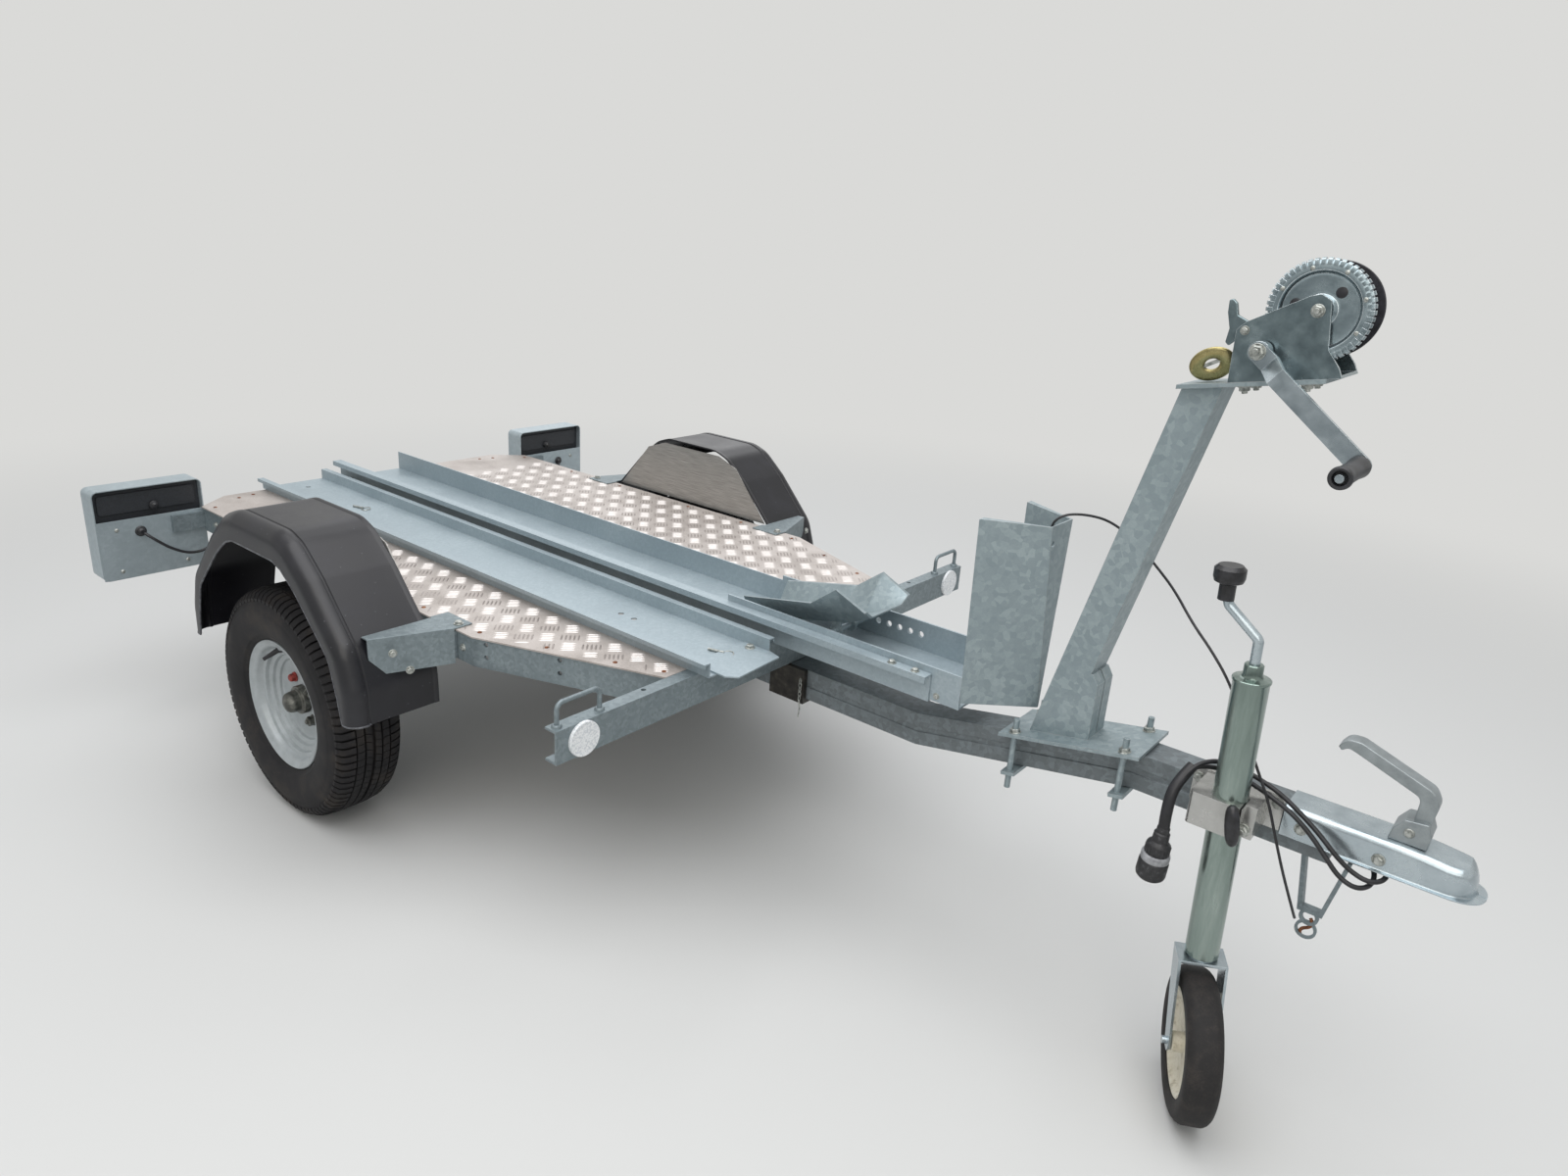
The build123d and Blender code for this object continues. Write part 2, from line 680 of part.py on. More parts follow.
# Drawbar, a closed section with a groove along each side, cranked up to the coupling
with BuildPart() as drawbar:
    top_line = [
        (bar_rear, bar_low_top),
        (bar_bend_1, bar_low_top),
        (bar_bend_2, bar_low_top + bar_rise),
        (bar_front, bar_low_top + bar_rise),
    ]
    with BuildSketch(Plane.XZ.offset(-bar_half_w)):
        with BuildLine():
            Polyline(
                *[(at(x), z) for x, z in top_line],
                *[(at(x), z - bar_h) for x, z in reversed(top_line)],
                close=True,
            )
        make_face()
    extrude(amount=2 * bar_half_w)
    for side in (-1, 1):
        with BuildSketch(Plane.XZ.offset(-side * (bar_half_w - 3))):
            with BuildLine():
                Polyline(
                    *[(at(x), z - 0.42 * bar_h) for x, z in top_line],
                    *[(at(x), z - 0.58 * bar_h) for x, z in reversed(top_line)],
                    close=True,
                )
            make_face()
        extrude(amount=-side * 10, mode=Mode.SUBTRACT)
drawbar.part.label = "drawbar"
export_step(drawbar.part, "parts/drawbar.step")

# Socket that holds the drawbar under the crossbeam
with BuildPart() as drawbar_socket:
    socket_bottom = bar_low_top - bar_h - 8
    with Locations((at(822), 0, (bar_low_top + socket_bottom) / 2)):
        Box(84, 2 * bar_half_w + 20, bar_low_top - socket_bottom)
    with Locations((at(822), 0, bar_low_top - bar_h / 2)):
        Box(90, 2 * bar_half_w, bar_h, mode=Mode.SUBTRACT)
drawbar_socket.part.label = "drawbar_socket"
export_step(drawbar_socket.part, "parts/drawbar_socket.step")

# Winch post, base plate on the rising part of the drawbar, leaning tube, prop and head plate
plate_slope = bar_rise / (bar_bend_2 - bar_bend_1)
head_slope = math.tan(math.radians(winch_slope))


def plate_z(x):
    return bar_low_top + (x - bar_bend_1) * plate_slope


def head_z(x):
    return winch_z + (x - winch_x) * head_slope


with BuildPart() as winch_post:
    with BuildSketch(Plane.XZ.offset(-plate_half_w)):
        with BuildLine():
            Polyline(
                (at(plate_rear), plate_z(plate_rear)),
                (at(plate_front), plate_z(plate_front)),
                (at(plate_front), plate_z(plate_front) + plate_t),
                (at(plate_rear), plate_z(plate_rear) + plate_t),
                close=True,
            )
        make_face()
    extrude(amount=2 * plate_half_w)
    with BuildSketch(Plane.XZ.offset(-post_half_w)):
        with BuildLine():
            Polyline(
                (at(post_base[0]), plate_z(post_base[0])),
                (at(post_base[1]), plate_z(post_base[1])),
                (at(post_head[1]), head_z(post_head[1]) - 3),
                (at(post_head[0]), head_z(post_head[0]) - 3),
                close=True,
            )
        make_face()
    extrude(amount=2 * post_half_w)
    # Prop, two folded halves with a slit between them
    for side in (-1, 1):
        with BuildSketch(Plane.XZ.offset(-1.5 if side > 0 else post_half_w)):
            with BuildLine():
                Polyline(
                    (at(1370), plate_z(1370)),
                    (at(1424), plate_z(1424)),
                    (at(1424), 584),
                    (at(1414), 600),
                    (at(1400), 600),
                    close=True,
                )
            make_face()
        extrude(amount=-(post_half_w - 1.5))
    # Studs through the base plate and the two clamp bars that they pull up under the drawbar
    plate_tilt = math.degrees(math.atan(plate_slope))
    for x in stud_x:
        for side in (-1, 1):
            with Locations((at(x), side * stud_y, plate_z(x) + plate_t + 24 - 63)):
                Cylinder(stud_r, 126)
        with Locations(Location((at(x + 2), 0, plate_z(x) - bar_h - 4), (0, -plate_tilt, 0))):
            Box(24, 2 * stud_y + 24, 6)
    with BuildSketch(Plane.XZ.offset(-winch_half_w)):
        with BuildLine():
            Polyline(
                (at(1462), head_z(1462) - 6),
                (at(1647), head_z(1647) - 6),
                (at(1647), head_z(1647)),
                (at(1462), head_z(1462)),
                close=True,
            )
        make_face()
    extrude(amount=2 * winch_half_w)
winch_post.part.label = "winch_post"
export_step(winch_post.part, "parts/winch_post.step")

# Winch gears, straight-sided teeth; the pinion has a tooth and the gear a gap on the line of centres
gear_r = gear_module * gear_teeth / 2
pinion_r = gear_module * pinion_teeth / 2
pinion_x = gear_x + (gear_r + pinion_r) * math.cos(math.radians(mesh_angle))
pinion_z = gear_z + (gear_r + pinion_r) * math.sin(math.radians(mesh_angle))


def tooth_ring(teeth, phase, centre_x, centre_z):
    pitch_r = gear_module * teeth / 2
    step = 360 / teeth
    root_r = pitch_r - 1.2 * gear_module
    tip_r = pitch_r + 0.85 * gear_module
    points = []
    for tooth in range(teeth):
        for share, radius in ((-0.33, root_r), (-0.12, tip_r), (0.12, tip_r), (0.33, root_r)):
            angle = math.radians(phase + (tooth + share) * step)
            points.append((at(centre_x) + radius * math.cos(angle), centre_z + radius * math.sin(angle)))
    return points


# Winch frame, base and two side plates folded from one sheet
side_plate = [
    (1528, head_z(1528)),
    (1526, 1140),
    (1536, 1151),
    (1606, 1190),
    (1619, 1194),
    (1632, 1187),
    (1641, 1128),
    (1658, 1108),
    (1664, head_z(1664)),
]
with BuildPart() as winch_frame:
    with BuildSketch(Plane.XZ.offset(-winch_half_w)):
        with BuildLine():
            Polyline(*[(at(x), z) for x, z in side_plate], close=True)
        make_face()
    extrude(amount=2 * winch_half_w)
    with BuildSketch(Plane.XZ.offset(-winch_half_w + 4)):
        with BuildLine():
            Polyline(
                (at(1500), head_z(1500) + 4),
                (at(1700), head_z(1700) + 4),
                (at(1700), 1250),
                (at(1500), 1250),
                close=True,
            )
        make_face()
    extrude(amount=2 * winch_half_w - 8, mode=Mode.SUBTRACT)
    for x, z in ((gear_x, gear_z), (pinion_x, pinion_z)):
        with Locations((at(x), 0, z)):
            Cylinder(6.05, 4 * winch_half_w, rotation=(90, 0, 0), mode=Mode.SUBTRACT)
winch_frame.part.label = "winch_frame"
export_step(winch_frame.part, "parts/winch_frame.step")

# Winch drum with its ring of gear teeth and far flange
with BuildPart() as winch_drum:
    with BuildSketch(Plane.XZ.offset(-gear_y - gear_t)):
        with BuildLine():
            Polyline(*tooth_ring(gear_teeth, mesh_angle + 180 / gear_teeth, gear_x, gear_z), close=True)
        make_face()
    extrude(amount=gear_t)
    with Locations((at(gear_x), 28.5, gear_z)):
        Cylinder(62, 3, rotation=(90, 0, 0))
    with Locations((at(gear_x), 0, gear_z)):
        Cylinder(20, 56, rotation=(90, 0, 0))
        Cylinder(6, 2 * winch_half_w + 10, rotation=(90, 0, 0))
    # Pressed recess in the gear's face with three round holes about the shaft
    with BuildSketch(Plane.XZ.offset(-gear_y + 1)):
        with Locations((at(gear_x), gear_z)):
            Circle(46)
            Circle(17, mode=Mode.SUBTRACT)
    extrude(amount=-4, mode=Mode.SUBTRACT)
    with BuildSketch(Plane.XZ.offset(-gear_y + 10)):
        with Locations((at(gear_x), gear_z)):
            with PolarLocations(31, 3, start_angle=50):
                Circle(7)
    extrude(amount=-30, mode=Mode.SUBTRACT)
winch_drum.part.label = "winch_drum"
export_step(winch_drum.part, "parts/winch_drum.step")

# Strap wound on the drum
with BuildPart() as winch_strap:
    with Locations((at(gear_x), 0, gear_z)):
        Cylinder(48, 50, rotation=(90, 0, 0))
        Cylinder(20, 60, rotation=(90, 0, 0), mode=Mode.SUBTRACT)
winch_strap.part.label = "winch_strap"
export_step(winch_strap.part, "parts/winch_strap.step")

# Winch crank, pinion shaft and flat arm
with BuildPart() as winch_crank:
    with BuildSketch(Plane.XZ.offset(-gear_y - gear_t - 1)):
        with BuildLine():
            Polyline(*tooth_ring(pinion_teeth, mesh_angle + 180, pinion_x, pinion_z), close=True)
        make_face()
    extrude(amount=gear_t + 2)
    with Locations((at(pinion_x), (crank_near_y - 12 + 52) / 2, pinion_z)):
        Cylinder(6, 64 - crank_near_y, rotation=(90, 0, 0))
    with Locations((at(pinion_x), (crank_near_y - 50) / 2, pinion_z)):
        Cylinder(13, -crank_near_y - 50, rotation=(90, 0, 0))
    # Flat arm, set outwards by a joggle near its hub
    arm_angle = math.atan2(crank_end[1] - pinion_z, crank_end[0] - pinion_x)
    arm_l = math.hypot(crank_end[1] - pinion_z, crank_end[0] - pinion_x)
    arm_plane = Plane(
        origin=(at(pinion_x), 0, pinion_z),
        x_dir=(math.cos(arm_angle), 0, math.sin(arm_angle)),
        z_dir=(math.sin(arm_angle), 0, -math.cos(arm_angle)),
    )
    arm_profile = [
        (-14, crank_near_y),
        (24, crank_near_y),
        (44, crank_far_y),
        (arm_l + 14, crank_far_y),
        (arm_l + 14, crank_far_y - 6),
        (41, crank_far_y - 6),
        (21, crank_near_y - 6),
        (-14, crank_near_y - 6),
    ]
    arm_drop = Plane(
        origin=(at(pinion_x), 0, pinion_z),
        x_dir=(math.cos(arm_angle), 0, math.sin(arm_angle)),
        z_dir=(0, -1, 0),
    )
    with BuildPart(mode=Mode.PRIVATE) as arm:
        flip = 1 if arm_plane.y_dir.Y > 0 else -1
        with BuildSketch(arm_plane):
            with BuildLine():
                Polyline(*[(along, flip * y) for along, y in arm_profile], close=True)
            make_face()
        extrude(amount=20, both=True)
        with BuildSketch(arm_drop):
            with Locations((arm_l / 2, 0)):
                SlotCenterToCenter(arm_l, 25)
        extrude(amount=300, both=True, mode=Mode.INTERSECT)
    add(arm.part)
    with Locations((at(crank_end[0]), crank_far_y - 55, crank_end[1])):
        Cylinder(5, 110, rotation=(90, 0, 0))
winch_crank.part.label = "winch_crank"
export_step(winch_crank.part, "parts/winch_crank.step")

# Crank grip, black plastic sleeve fixed on the crank pin
with BuildPart() as crank_grip:
    with Locations((at(crank_end[0]), crank_far_y - 57, crank_end[1])):
        Cylinder(14, 100, rotation=(90, 0, 0))
        Cylinder(5, 110, rotation=(90, 0, 0), mode=Mode.SUBTRACT)
crank_grip.part.label = "crank_grip"
export_step(crank_grip.part, "parts/crank_grip.step")

# Coupling head, pressed steel shell over the drawbar end, with a socket for the tow ball
with BuildPart() as coupling_head:
    with BuildSketch(Plane.XY.offset(coupling_bottom)):
        with BuildLine():
            Polyline(
                (at(coupling_rear), -coupling_half_w),
                (at(nose_reach - 52), -coupling_half_w),
                (at(nose_reach - 14), -20),
                (at(nose_reach - 14), 20),
                (at(nose_reach - 52), coupling_half_w),
                (at(coupling_rear), coupling_half_w),
                close=True,
            )
        make_face()
        fillet(vertices().filter_by(lambda corner: corner.X > at(nose_reach - 60)), radius=18)
    extrude(amount=coupling_top - coupling_bottom)
    roof = edges().filter_by(lambda edge: edge.center().Z > coupling_top - 0.1)
    fillet(roof.filter_by(lambda edge: edge.center().X > at(coupling_rear + 1)), radius=10)
    with BuildSketch(Plane.XY.offset(coupling_bottom)):
        with BuildLine():
            Polyline(
                (at(coupling_rear + 68), -coupling_half_w),
                (at(coupling_rear + 88), -coupling_half_w - 6),
                (at(nose_reach - 42), -coupling_half_w - 6),
                (at(nose_reach), -20),
                (at(nose_reach), 20),
                (at(nose_reach - 42), coupling_half_w + 6),
                (at(coupling_rear + 88), coupling_half_w + 6),
                (at(coupling_rear + 68), coupling_half_w),
                close=True,
            )
        make_face()
        fillet(vertices().filter_by(lambda corner: corner.X > at(nose_reach - 60)), radius=20)
    extrude(amount=4)
    hollow_front = ball_x - ball_r - 5
    with Locations((at((coupling_rear + hollow_front) / 2), 0, (coupling_bottom + bar_low_top + bar_rise) / 2)):
        Box(
            hollow_front - coupling_rear,
            2 * bar_half_w,
            bar_low_top + bar_rise - coupling_bottom,
            mode=Mode.SUBTRACT,
        )
    with Locations((at(ball_x), 0, coupling_bottom + 7)):
        Sphere(ball_r, mode=Mode.SUBTRACT)
    with Locations((at(ball_x), 0, coupling_bottom - 3)):
        Cylinder(ball_r, 20, mode=Mode.SUBTRACT)
coupling_head.part.label = "coupling_head"
export_step(coupling_head.part, "parts/coupling_head.step")

# Coupling handle, cast lever over the head
with BuildPart() as coupling_handle:
    # Foot on the head, wider than the arm
    with BuildSketch(Plane.XZ.offset(-21)):
        with BuildLine():
            Polyline(
                (at(1849), coupling_top),
                (at(1896), coupling_top),
                (at(1899), 526),
                (at(1892), 541),
                (at(1862), 538),
                (at(1851), 520),
                close=True,
            )
        make_face()
    extrude(amount=42)
    # Cranked arm, hollow below
    with BuildSketch(Plane.XZ.offset(-13)):
        with BuildLine():
            Polyline(
                (at(1860), 530),
                (at(1893), 530),
                (at(1897), 566),
                (at(1889), 582),
                (at(1786), 622),
                (at(1768), 619),
                (at(1762), 602),
                (at(1770), 592),
                (at(1864), 556),
                close=True,
            )
        make_face()
    extrude(amount=26)
    with BuildSketch(Plane.XZ.offset(-9)):
        with BuildLine():
            Polyline(
                (at(1790), 580),
                (at(1860), 550),
                (at(1866), 545),
                (at(1884), 566),
                (at(1880), 574),
                (at(1792), 609),
                (at(1780), 605),
                close=True,
            )
        make_face()
    extrude(amount=18, mode=Mode.SUBTRACT)
coupling_handle.part.label = "coupling_handle"
export_step(coupling_handle.part, "parts/coupling_handle.step")

# Jockey stand, drawn upright about its own axis and set in the leaning clamp
lean = math.radians(jockey_lean)
heading = math.radians(jockey_heading)
stand_plane = Plane(
    origin=(at(jockey_x), jockey_y, jockey_top),
    x_dir=(math.cos(lean), 0, math.sin(lean)),
    z_dir=(-math.sin(lean), 0, math.cos(lean)),
)
wheel_tilt = abs(math.sin(heading) * math.sin(lean))
jockey_wheel_z = (
    (jockey_wheel_r - jockey_shoulder) * math.sqrt(1 - wheel_tilt**2)
    + (jockey_wheel_half_w - jockey_shoulder) * wheel_tilt
    + jockey_shoulder
)
axle_drop = (jockey_wheel_z - jockey_top - jockey_trail * math.cos(heading) * math.sin(lean)) / math.cos(lean)
clamp_x = jockey_x + math.tan(lean) * (jockey_top - clamp_z)

# Clamp on the near side of the drawbar, a folded block split beside the tube
with BuildPart() as jockey_clamp:
    clamp_near_y = jockey_y - jockey_tube_r - 5
    split_x = clamp_x + 22
    with BuildSketch(Plane.XY.offset(clamp_z - 25)):
        with Locations((at(clamp_x - 4), (-bar_half_w + clamp_near_y) / 2)):
            Rectangle(88, -bar_half_w - clamp_near_y)
        fillet(vertices().filter_by(lambda corner: corner.Y < jockey_y), radius=7)
    extrude(amount=50)
    with Locations((at(split_x), clamp_near_y + 18, clamp_z)):
        Box(2.5, 44, 60, mode=Mode.SUBTRACT)
    with Locations((at(split_x + 27), clamp_near_y, clamp_z)):
        Box(50, 34, 60, mode=Mode.SUBTRACT)
    # Ears that lap on the drawbar's side
    for ear_x in (clamp_x - 45, clamp_x + 39):
        with Locations((at(ear_x), -bar_half_w - 3, clamp_z)):
            Box(44, 6, 54)
    with Locations(stand_plane.location):
        Cylinder(jockey_tube_r + 0.05, 1200, mode=Mode.SUBTRACT)
jockey_clamp.part.label = "jockey_clamp"
export_step(jockey_clamp.part, "parts/jockey_clamp.step")

# Outer tube with its cap
with BuildPart() as jockey_tube:
    with Locations((0, 0, -jockey_tube_l / 2)):
        Cylinder(jockey_tube_r, jockey_tube_l)
    with Locations((0, 0, -jockey_tube_l / 2 - 20)):
        Cylinder(20.05, jockey_tube_l, mode=Mode.SUBTRACT)
    with Locations((0, 0, 1)):
        Cylinder(26, 3)
    with Locations((0, 0, 12)):
        Cylinder(13, 22)
    Cylinder(crank_rod_r + 0.05, 60, mode=Mode.SUBTRACT)
tube_placed = stand_plane.location * jockey_tube.part
tube_placed.label = "jockey_tube"
export_step(tube_placed, "parts/jockey_tube.step")

# Crank rod with its black knob
with BuildPart() as jockey_crank:
    with BuildLine() as rod_line:
        FilletPolyline((0, 0, 0), (0, 0, 58), (-46, 0, 98), (-50, 0, 118), radius=11)
    with BuildSketch(Plane(origin=(0, 0, 0), z_dir=(0, 0, 1))):
        Circle(crank_rod_r)
    sweep(path=rod_line.wires()[0])
    with BuildSketch(Plane(origin=(-51, 0, 104), x_dir=(1, 0, 0), z_dir=(0, -1, 0))):
        with BuildLine():
            Polyline((0, 0), (11, 0), (11, 22), (19, 26), (21, 32), (21, 44), (16, 49), (0, 49), close=True)
        make_face()
    revolve(axis=Axis((-51, 0, 104), (0, 0, 1)))
crank_placed = stand_plane.location * jockey_crank.part
crank_placed.label = "jockey_crank"
export_step(crank_placed, "parts/jockey_crank.step")

# Inner tube and fork, turned to the caster heading
arm_in = jockey_wheel_half_w + 6
with BuildPart() as jockey_fork:
    with Locations((0, 0, -jockey_tube_l + 145)):
        Cylinder(20, 300)
    # Yoke, a folded strip with its two arms drawn in towards the axle
    with Locations((0, 0, -jockey_tube_l - 6)):
        Box(46, 2 * arm_in + 8, 5)
    for side in (-1, 1):
        with BuildSketch(Plane.XZ.offset(-side * (arm_in + 2))):
            with BuildLine():
                Polyline(
                    (-23, -jockey_tube_l - 4),
                    (23, -jockey_tube_l - 4),
                    (28, -jockey_tube_l - 30),
                    (jockey_trail + 13, axle_drop + 14),
                    (jockey_trail + 13, axle_drop - 6),
                    (jockey_trail + 6, axle_drop - 14),
                    (jockey_trail - 6, axle_drop - 14),
                    (jockey_trail - 13, axle_drop - 6),
                    (-12, -jockey_tube_l - 50),
                    close=True,
                )
            make_face()
        extrude(amount=2, both=True)
    with Locations((jockey_trail, 0, axle_drop)):
        Cylinder(6, 2 * arm_in + 22, rotation=(90, 0, 0))
fork_placed = stand_plane.location * Rot(0, 0, jockey_heading) * jockey_fork.part
fork_placed.label = "jockey_fork"
export_step(fork_placed, "parts/jockey_fork.step")

# Jockey wheel, pressed rim with a solid rubber tyre
wheel_place = stand_plane.location * Rot(0, 0, jockey_heading) * Pos(jockey_trail, 0, axle_drop) * Rot(90, 0, 0)
with BuildPart() as jockey_rim:
    with BuildSketch(Plane.XZ):
        with BuildLine():
            Polyline(
                (6.05, -29),
                (15, -29),
                (15, -8),
                (70, -8),
                (74, -20),
                (80, -20),
                (80, 20),
                (74, 20),
                (70, 8),
                (15, 8),
                (15, 29),
                (6.05, 29),
                close=True,
            )
        make_face()
    revolve(axis=Axis.Z)
jrim_placed = wheel_place * jockey_rim.part
jrim_placed.label = "jockey_rim"
export_step(jrim_placed, "parts/jockey_rim.step")

with BuildPart() as jockey_tyre:
    with BuildSketch(Plane.XZ):
        with Locations(((jockey_wheel_r + 80) / 2, 0)):
            Rectangle(jockey_wheel_r - 80, 2 * jockey_wheel_half_w)
    revolve(axis=Axis.Z)
    outer_edges = jockey_tyre.edges().filter_by(GeomType.CIRCLE).sort_by(lambda edge: edge.radius)[-2:]
    fillet(outer_edges, radius=jockey_shoulder)
jtyre_placed = wheel_place * jockey_tyre.part
jtyre_placed.label = "jockey_tyre"
export_step(jtyre_placed, "parts/jockey_tyre.step")



# Cords, straight runs joined by tangent arcs; each arc reaches 0.45 of its shorter run
def cord_radii(name, points):
    radii = []
    for before, corner, after in zip(points, points[1:], points[2:]):
        run_in = Vector(*corner) - Vector(*before)
        run_out = Vector(*after) - Vector(*corner)
        turn = math.radians(run_in.get_angle(run_out))
        radii.append(0.45 * min(run_in.length, run_out.length) / math.tan(turn / 2))
    print(name, "tightest bend", round(min(radii), 1))
    return radii


def cord_solid(name, points, diameter):
    placed = [(at(x), y, z) for x, y, z in points]
    with BuildPart() as cord:
        with BuildLine() as route:
            FilletPolyline(*placed, radius=cord_radii(name, placed))
        start_dir = Vector(*placed[1]) - Vector(*placed[0])
        with BuildSketch(Plane(origin=placed[0], z_dir=start_dir)):
            Circle(diameter / 2)
        sweep(path=route.wires()[0])
    cord.part.label = name
    export_step(cord.part, f"parts/{name}.step")
    return cord.part.volume / (math.pi * diameter**2 / 4)


# Trailer cable, two strands side by side from the plug, over the clamp and under the coupling
trailer_cable_points = [
    (bar_front, 3, 478),
    (1818, 2, 477),
    (1846, 1, 468),
    (1862, -15, 456),
    (1862, -38, 448),
    (1846, -54, 446),
    (1822, -55, 453),
    (1800, -56, 468),
    (1774, -53, 489),
    (1744, -50, 508),
    (1711, -47, 526),
    (1667, -46, 539),
    (1628, -58, 548),
    (1604, -84, 541),
    (1592, -108, 516),
    (1592, -117, 480),
    (1593, -119, 449),
]
second_strand_points = [
    (bar_front, -8, 470),
    (1812, -8, 469),
    (1833, -9, 461),
    (1849, -25, 447),
    (1849, -46, 437),
    (1834, -62, 434),
    (1811, -64, 443),
    (1790, -62, 463),
    (1766, -60, 486),
    (1738, -59, 506),
    (1706, -56, 519),
    (1668, -50, 528),
    (1634, -54, 535),
    (1598, -77, 534),
    (1585, -103, 512),
    (1583, -122, 480),
    (1586, -123, 449),
]
cable_d = 7.0
cord_l = cord_solid("trailer_cable", trailer_cable_points, cable_d)
print("trailer_cable length", round(cord_l))
cord_l = cord_solid("trailer_cable_second", second_strand_points, cable_d)
print("trailer_cable_second length", round(cord_l))

# Plug hanging at the end of the trailer cable, revolved about its own axis
plug_top = (1589.5, -121.0, 447.7)
plug_bottom = (1583.5, -121.0, 360.0)
plug_axis = Vector(*plug_bottom) - Vector(*plug_top)
with BuildPart() as cable_plug:
    with BuildSketch(Plane.XZ):
        with BuildLine():
            Polyline(
                (0, 0), (9, 0), (12, 4), (13, 26), (16, 29), (21, 33), (22, 84), (18, 88), (0, 88), close=True
            )
        make_face()
    revolve(axis=Axis.Z)
plug_location = Plane(origin=(at(plug_top[0]), plug_top[1], plug_top[2]), z_dir=plug_axis).location
plug_placed = plug_location * cable_plug.part
plug_placed.label = "cable_plug"
export_step(plug_placed, "parts/cable_plug.step")

# Hanger for the breakaway cable under the drawbar, folded strap with a link and a ring
with BuildPart() as cable_hanger:
    hanger_top = bar_low_top + bar_rise - bar_h
    with BuildSketch(Plane.XZ.offset(-8)):
        with BuildLine():
            Polyline(
                (at(1752), hanger_top),
                (at(1758), hanger_top),
                (at(1772), 343),
                (at(1795), 343),
                (at(1812), hanger_top),
                (at(1818), hanger_top),
                (at(1800), 337),
                (at(1766), 337),
                close=True,
            )
        make_face()
    extrude(amount=16)
    for centre_z, turn, ring_r, wire in ((328, 0, 11, 5), (306, 60, 13, 4)):
        ring_plane = Plane(Location((at(1783), 0, centre_z), (90, 0, turn)))
        with BuildSketch(ring_plane):
            Circle(ring_r + wire / 2)
            Circle(ring_r - wire / 2, mode=Mode.SUBTRACT)
        extrude(amount=wire / 2, both=True)
cable_hanger.part.label = "cable_hanger"
export_step(cable_hanger.part, "parts/cable_hanger.step")

# Breakaway cable, from inside the wheel stop over its edge, past the post and down to its ring
breakaway_points = [
    (1308.9, -18, 774),
    (1301, -24, 812),
    (1318, -20, 836),
    (1345, 6, 838),
    (1376, 34, 829),
    (1418, 43, 803),
    (1458, 41, 772),
    (1496, 20, 751),
    (1540, -16, 722),
    (1582, -42, 698),
    (1616, -51, 664),
    (1645, -54, 616),
    (1675, -58, 561),
    (1705, -62, 512),
    (1722, -61, 467),
    (1741, -56, 417),
    (1757, -44, 372),
    (1768, -22, 330),
]
breakaway_d = 4.0
cord_l = cord_solid("breakaway_cable", breakaway_points, breakaway_d)
print("breakaway_cable length", round(cord_l))

# Lamp cables, one from each lamp down to the bed frame
for name, side in (("right", -1), ("left", 1)):
    lamp_cable_points = [
        (-686.9, side * (box_in_y + 148), 448),
        (-664, side * (box_in_y + 144), 444),
        (-652, side * (box_in_y + 124), 424),
        (-650, side * (box_in_y + 94), 398),
        (-650, side * (box_in_y + 60), 380),
        (-648, side * (box_in_y + 30), 378),
        (-644, side * (box_in_y + 2), 390),
        (-643, side * (box_in_y - 8), 422.4),
    ]
    cord_l = cord_solid(f"{name}_lamp_cable", lamp_cable_points, cable_d)
    print(name, "lamp cable length", round(cord_l))

print("jockey axle drop", round(axle_drop, 2), "wheel centre height", round(jockey_wheel_z, 2))
print("pinion", round(pinion_x, 2), round(pinion_z, 2), "mesh distance", gear_r + pinion_r)
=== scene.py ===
import math
import bmesh
import bpy
from mathutils import Matrix, Vector


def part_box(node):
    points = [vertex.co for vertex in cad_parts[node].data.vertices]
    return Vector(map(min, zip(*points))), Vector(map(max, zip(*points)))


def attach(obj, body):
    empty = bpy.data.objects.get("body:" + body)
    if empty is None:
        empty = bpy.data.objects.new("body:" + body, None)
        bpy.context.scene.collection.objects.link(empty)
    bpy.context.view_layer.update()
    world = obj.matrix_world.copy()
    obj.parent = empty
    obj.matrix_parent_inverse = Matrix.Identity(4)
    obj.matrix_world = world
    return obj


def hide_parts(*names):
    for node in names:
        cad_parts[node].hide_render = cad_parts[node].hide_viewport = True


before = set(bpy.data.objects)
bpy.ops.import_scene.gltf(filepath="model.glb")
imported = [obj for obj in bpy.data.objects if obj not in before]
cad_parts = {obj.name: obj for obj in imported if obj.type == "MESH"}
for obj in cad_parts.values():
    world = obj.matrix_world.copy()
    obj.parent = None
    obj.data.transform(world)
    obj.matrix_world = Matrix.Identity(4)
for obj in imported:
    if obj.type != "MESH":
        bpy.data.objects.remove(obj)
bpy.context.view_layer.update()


# Camera, at the height and angle from which the trailer was photographed.
# A wide lens of 24 mm on a full frame, tipped 20 degrees down.
eye = Vector((1.33674, -1.51164, 1.24791))
right = Vector((0.77152335, 0.63299636, 0.06377563))
up = Vector((-0.26151801, 0.22416277, 0.93880743))
ahead = Vector((-0.57996557, 0.74099032, -0.33848676))
bpy.ops.object.camera_add()
camera = bpy.context.object
camera.name = "photo_camera"
camera.matrix_world = Matrix.Translation(eye) @ Matrix((right, up, -ahead)).transposed().to_4x4()
camera.data.lens = 24.0
camera.data.sensor_width = 36.0
camera.data.clip_start = 0.05
camera.data.clip_end = 60.0
bpy.context.scene.camera = camera


def linear(code):
    """An sRGB hex colour as the linear values that a shader takes."""
    levels = [int(code[i : i + 2], 16) / 255 for i in (0, 2, 4)]
    return [c / 12.92 if c <= 0.04045 else ((c + 0.055) / 1.055) ** 2.4 for c in levels] + [1.0]


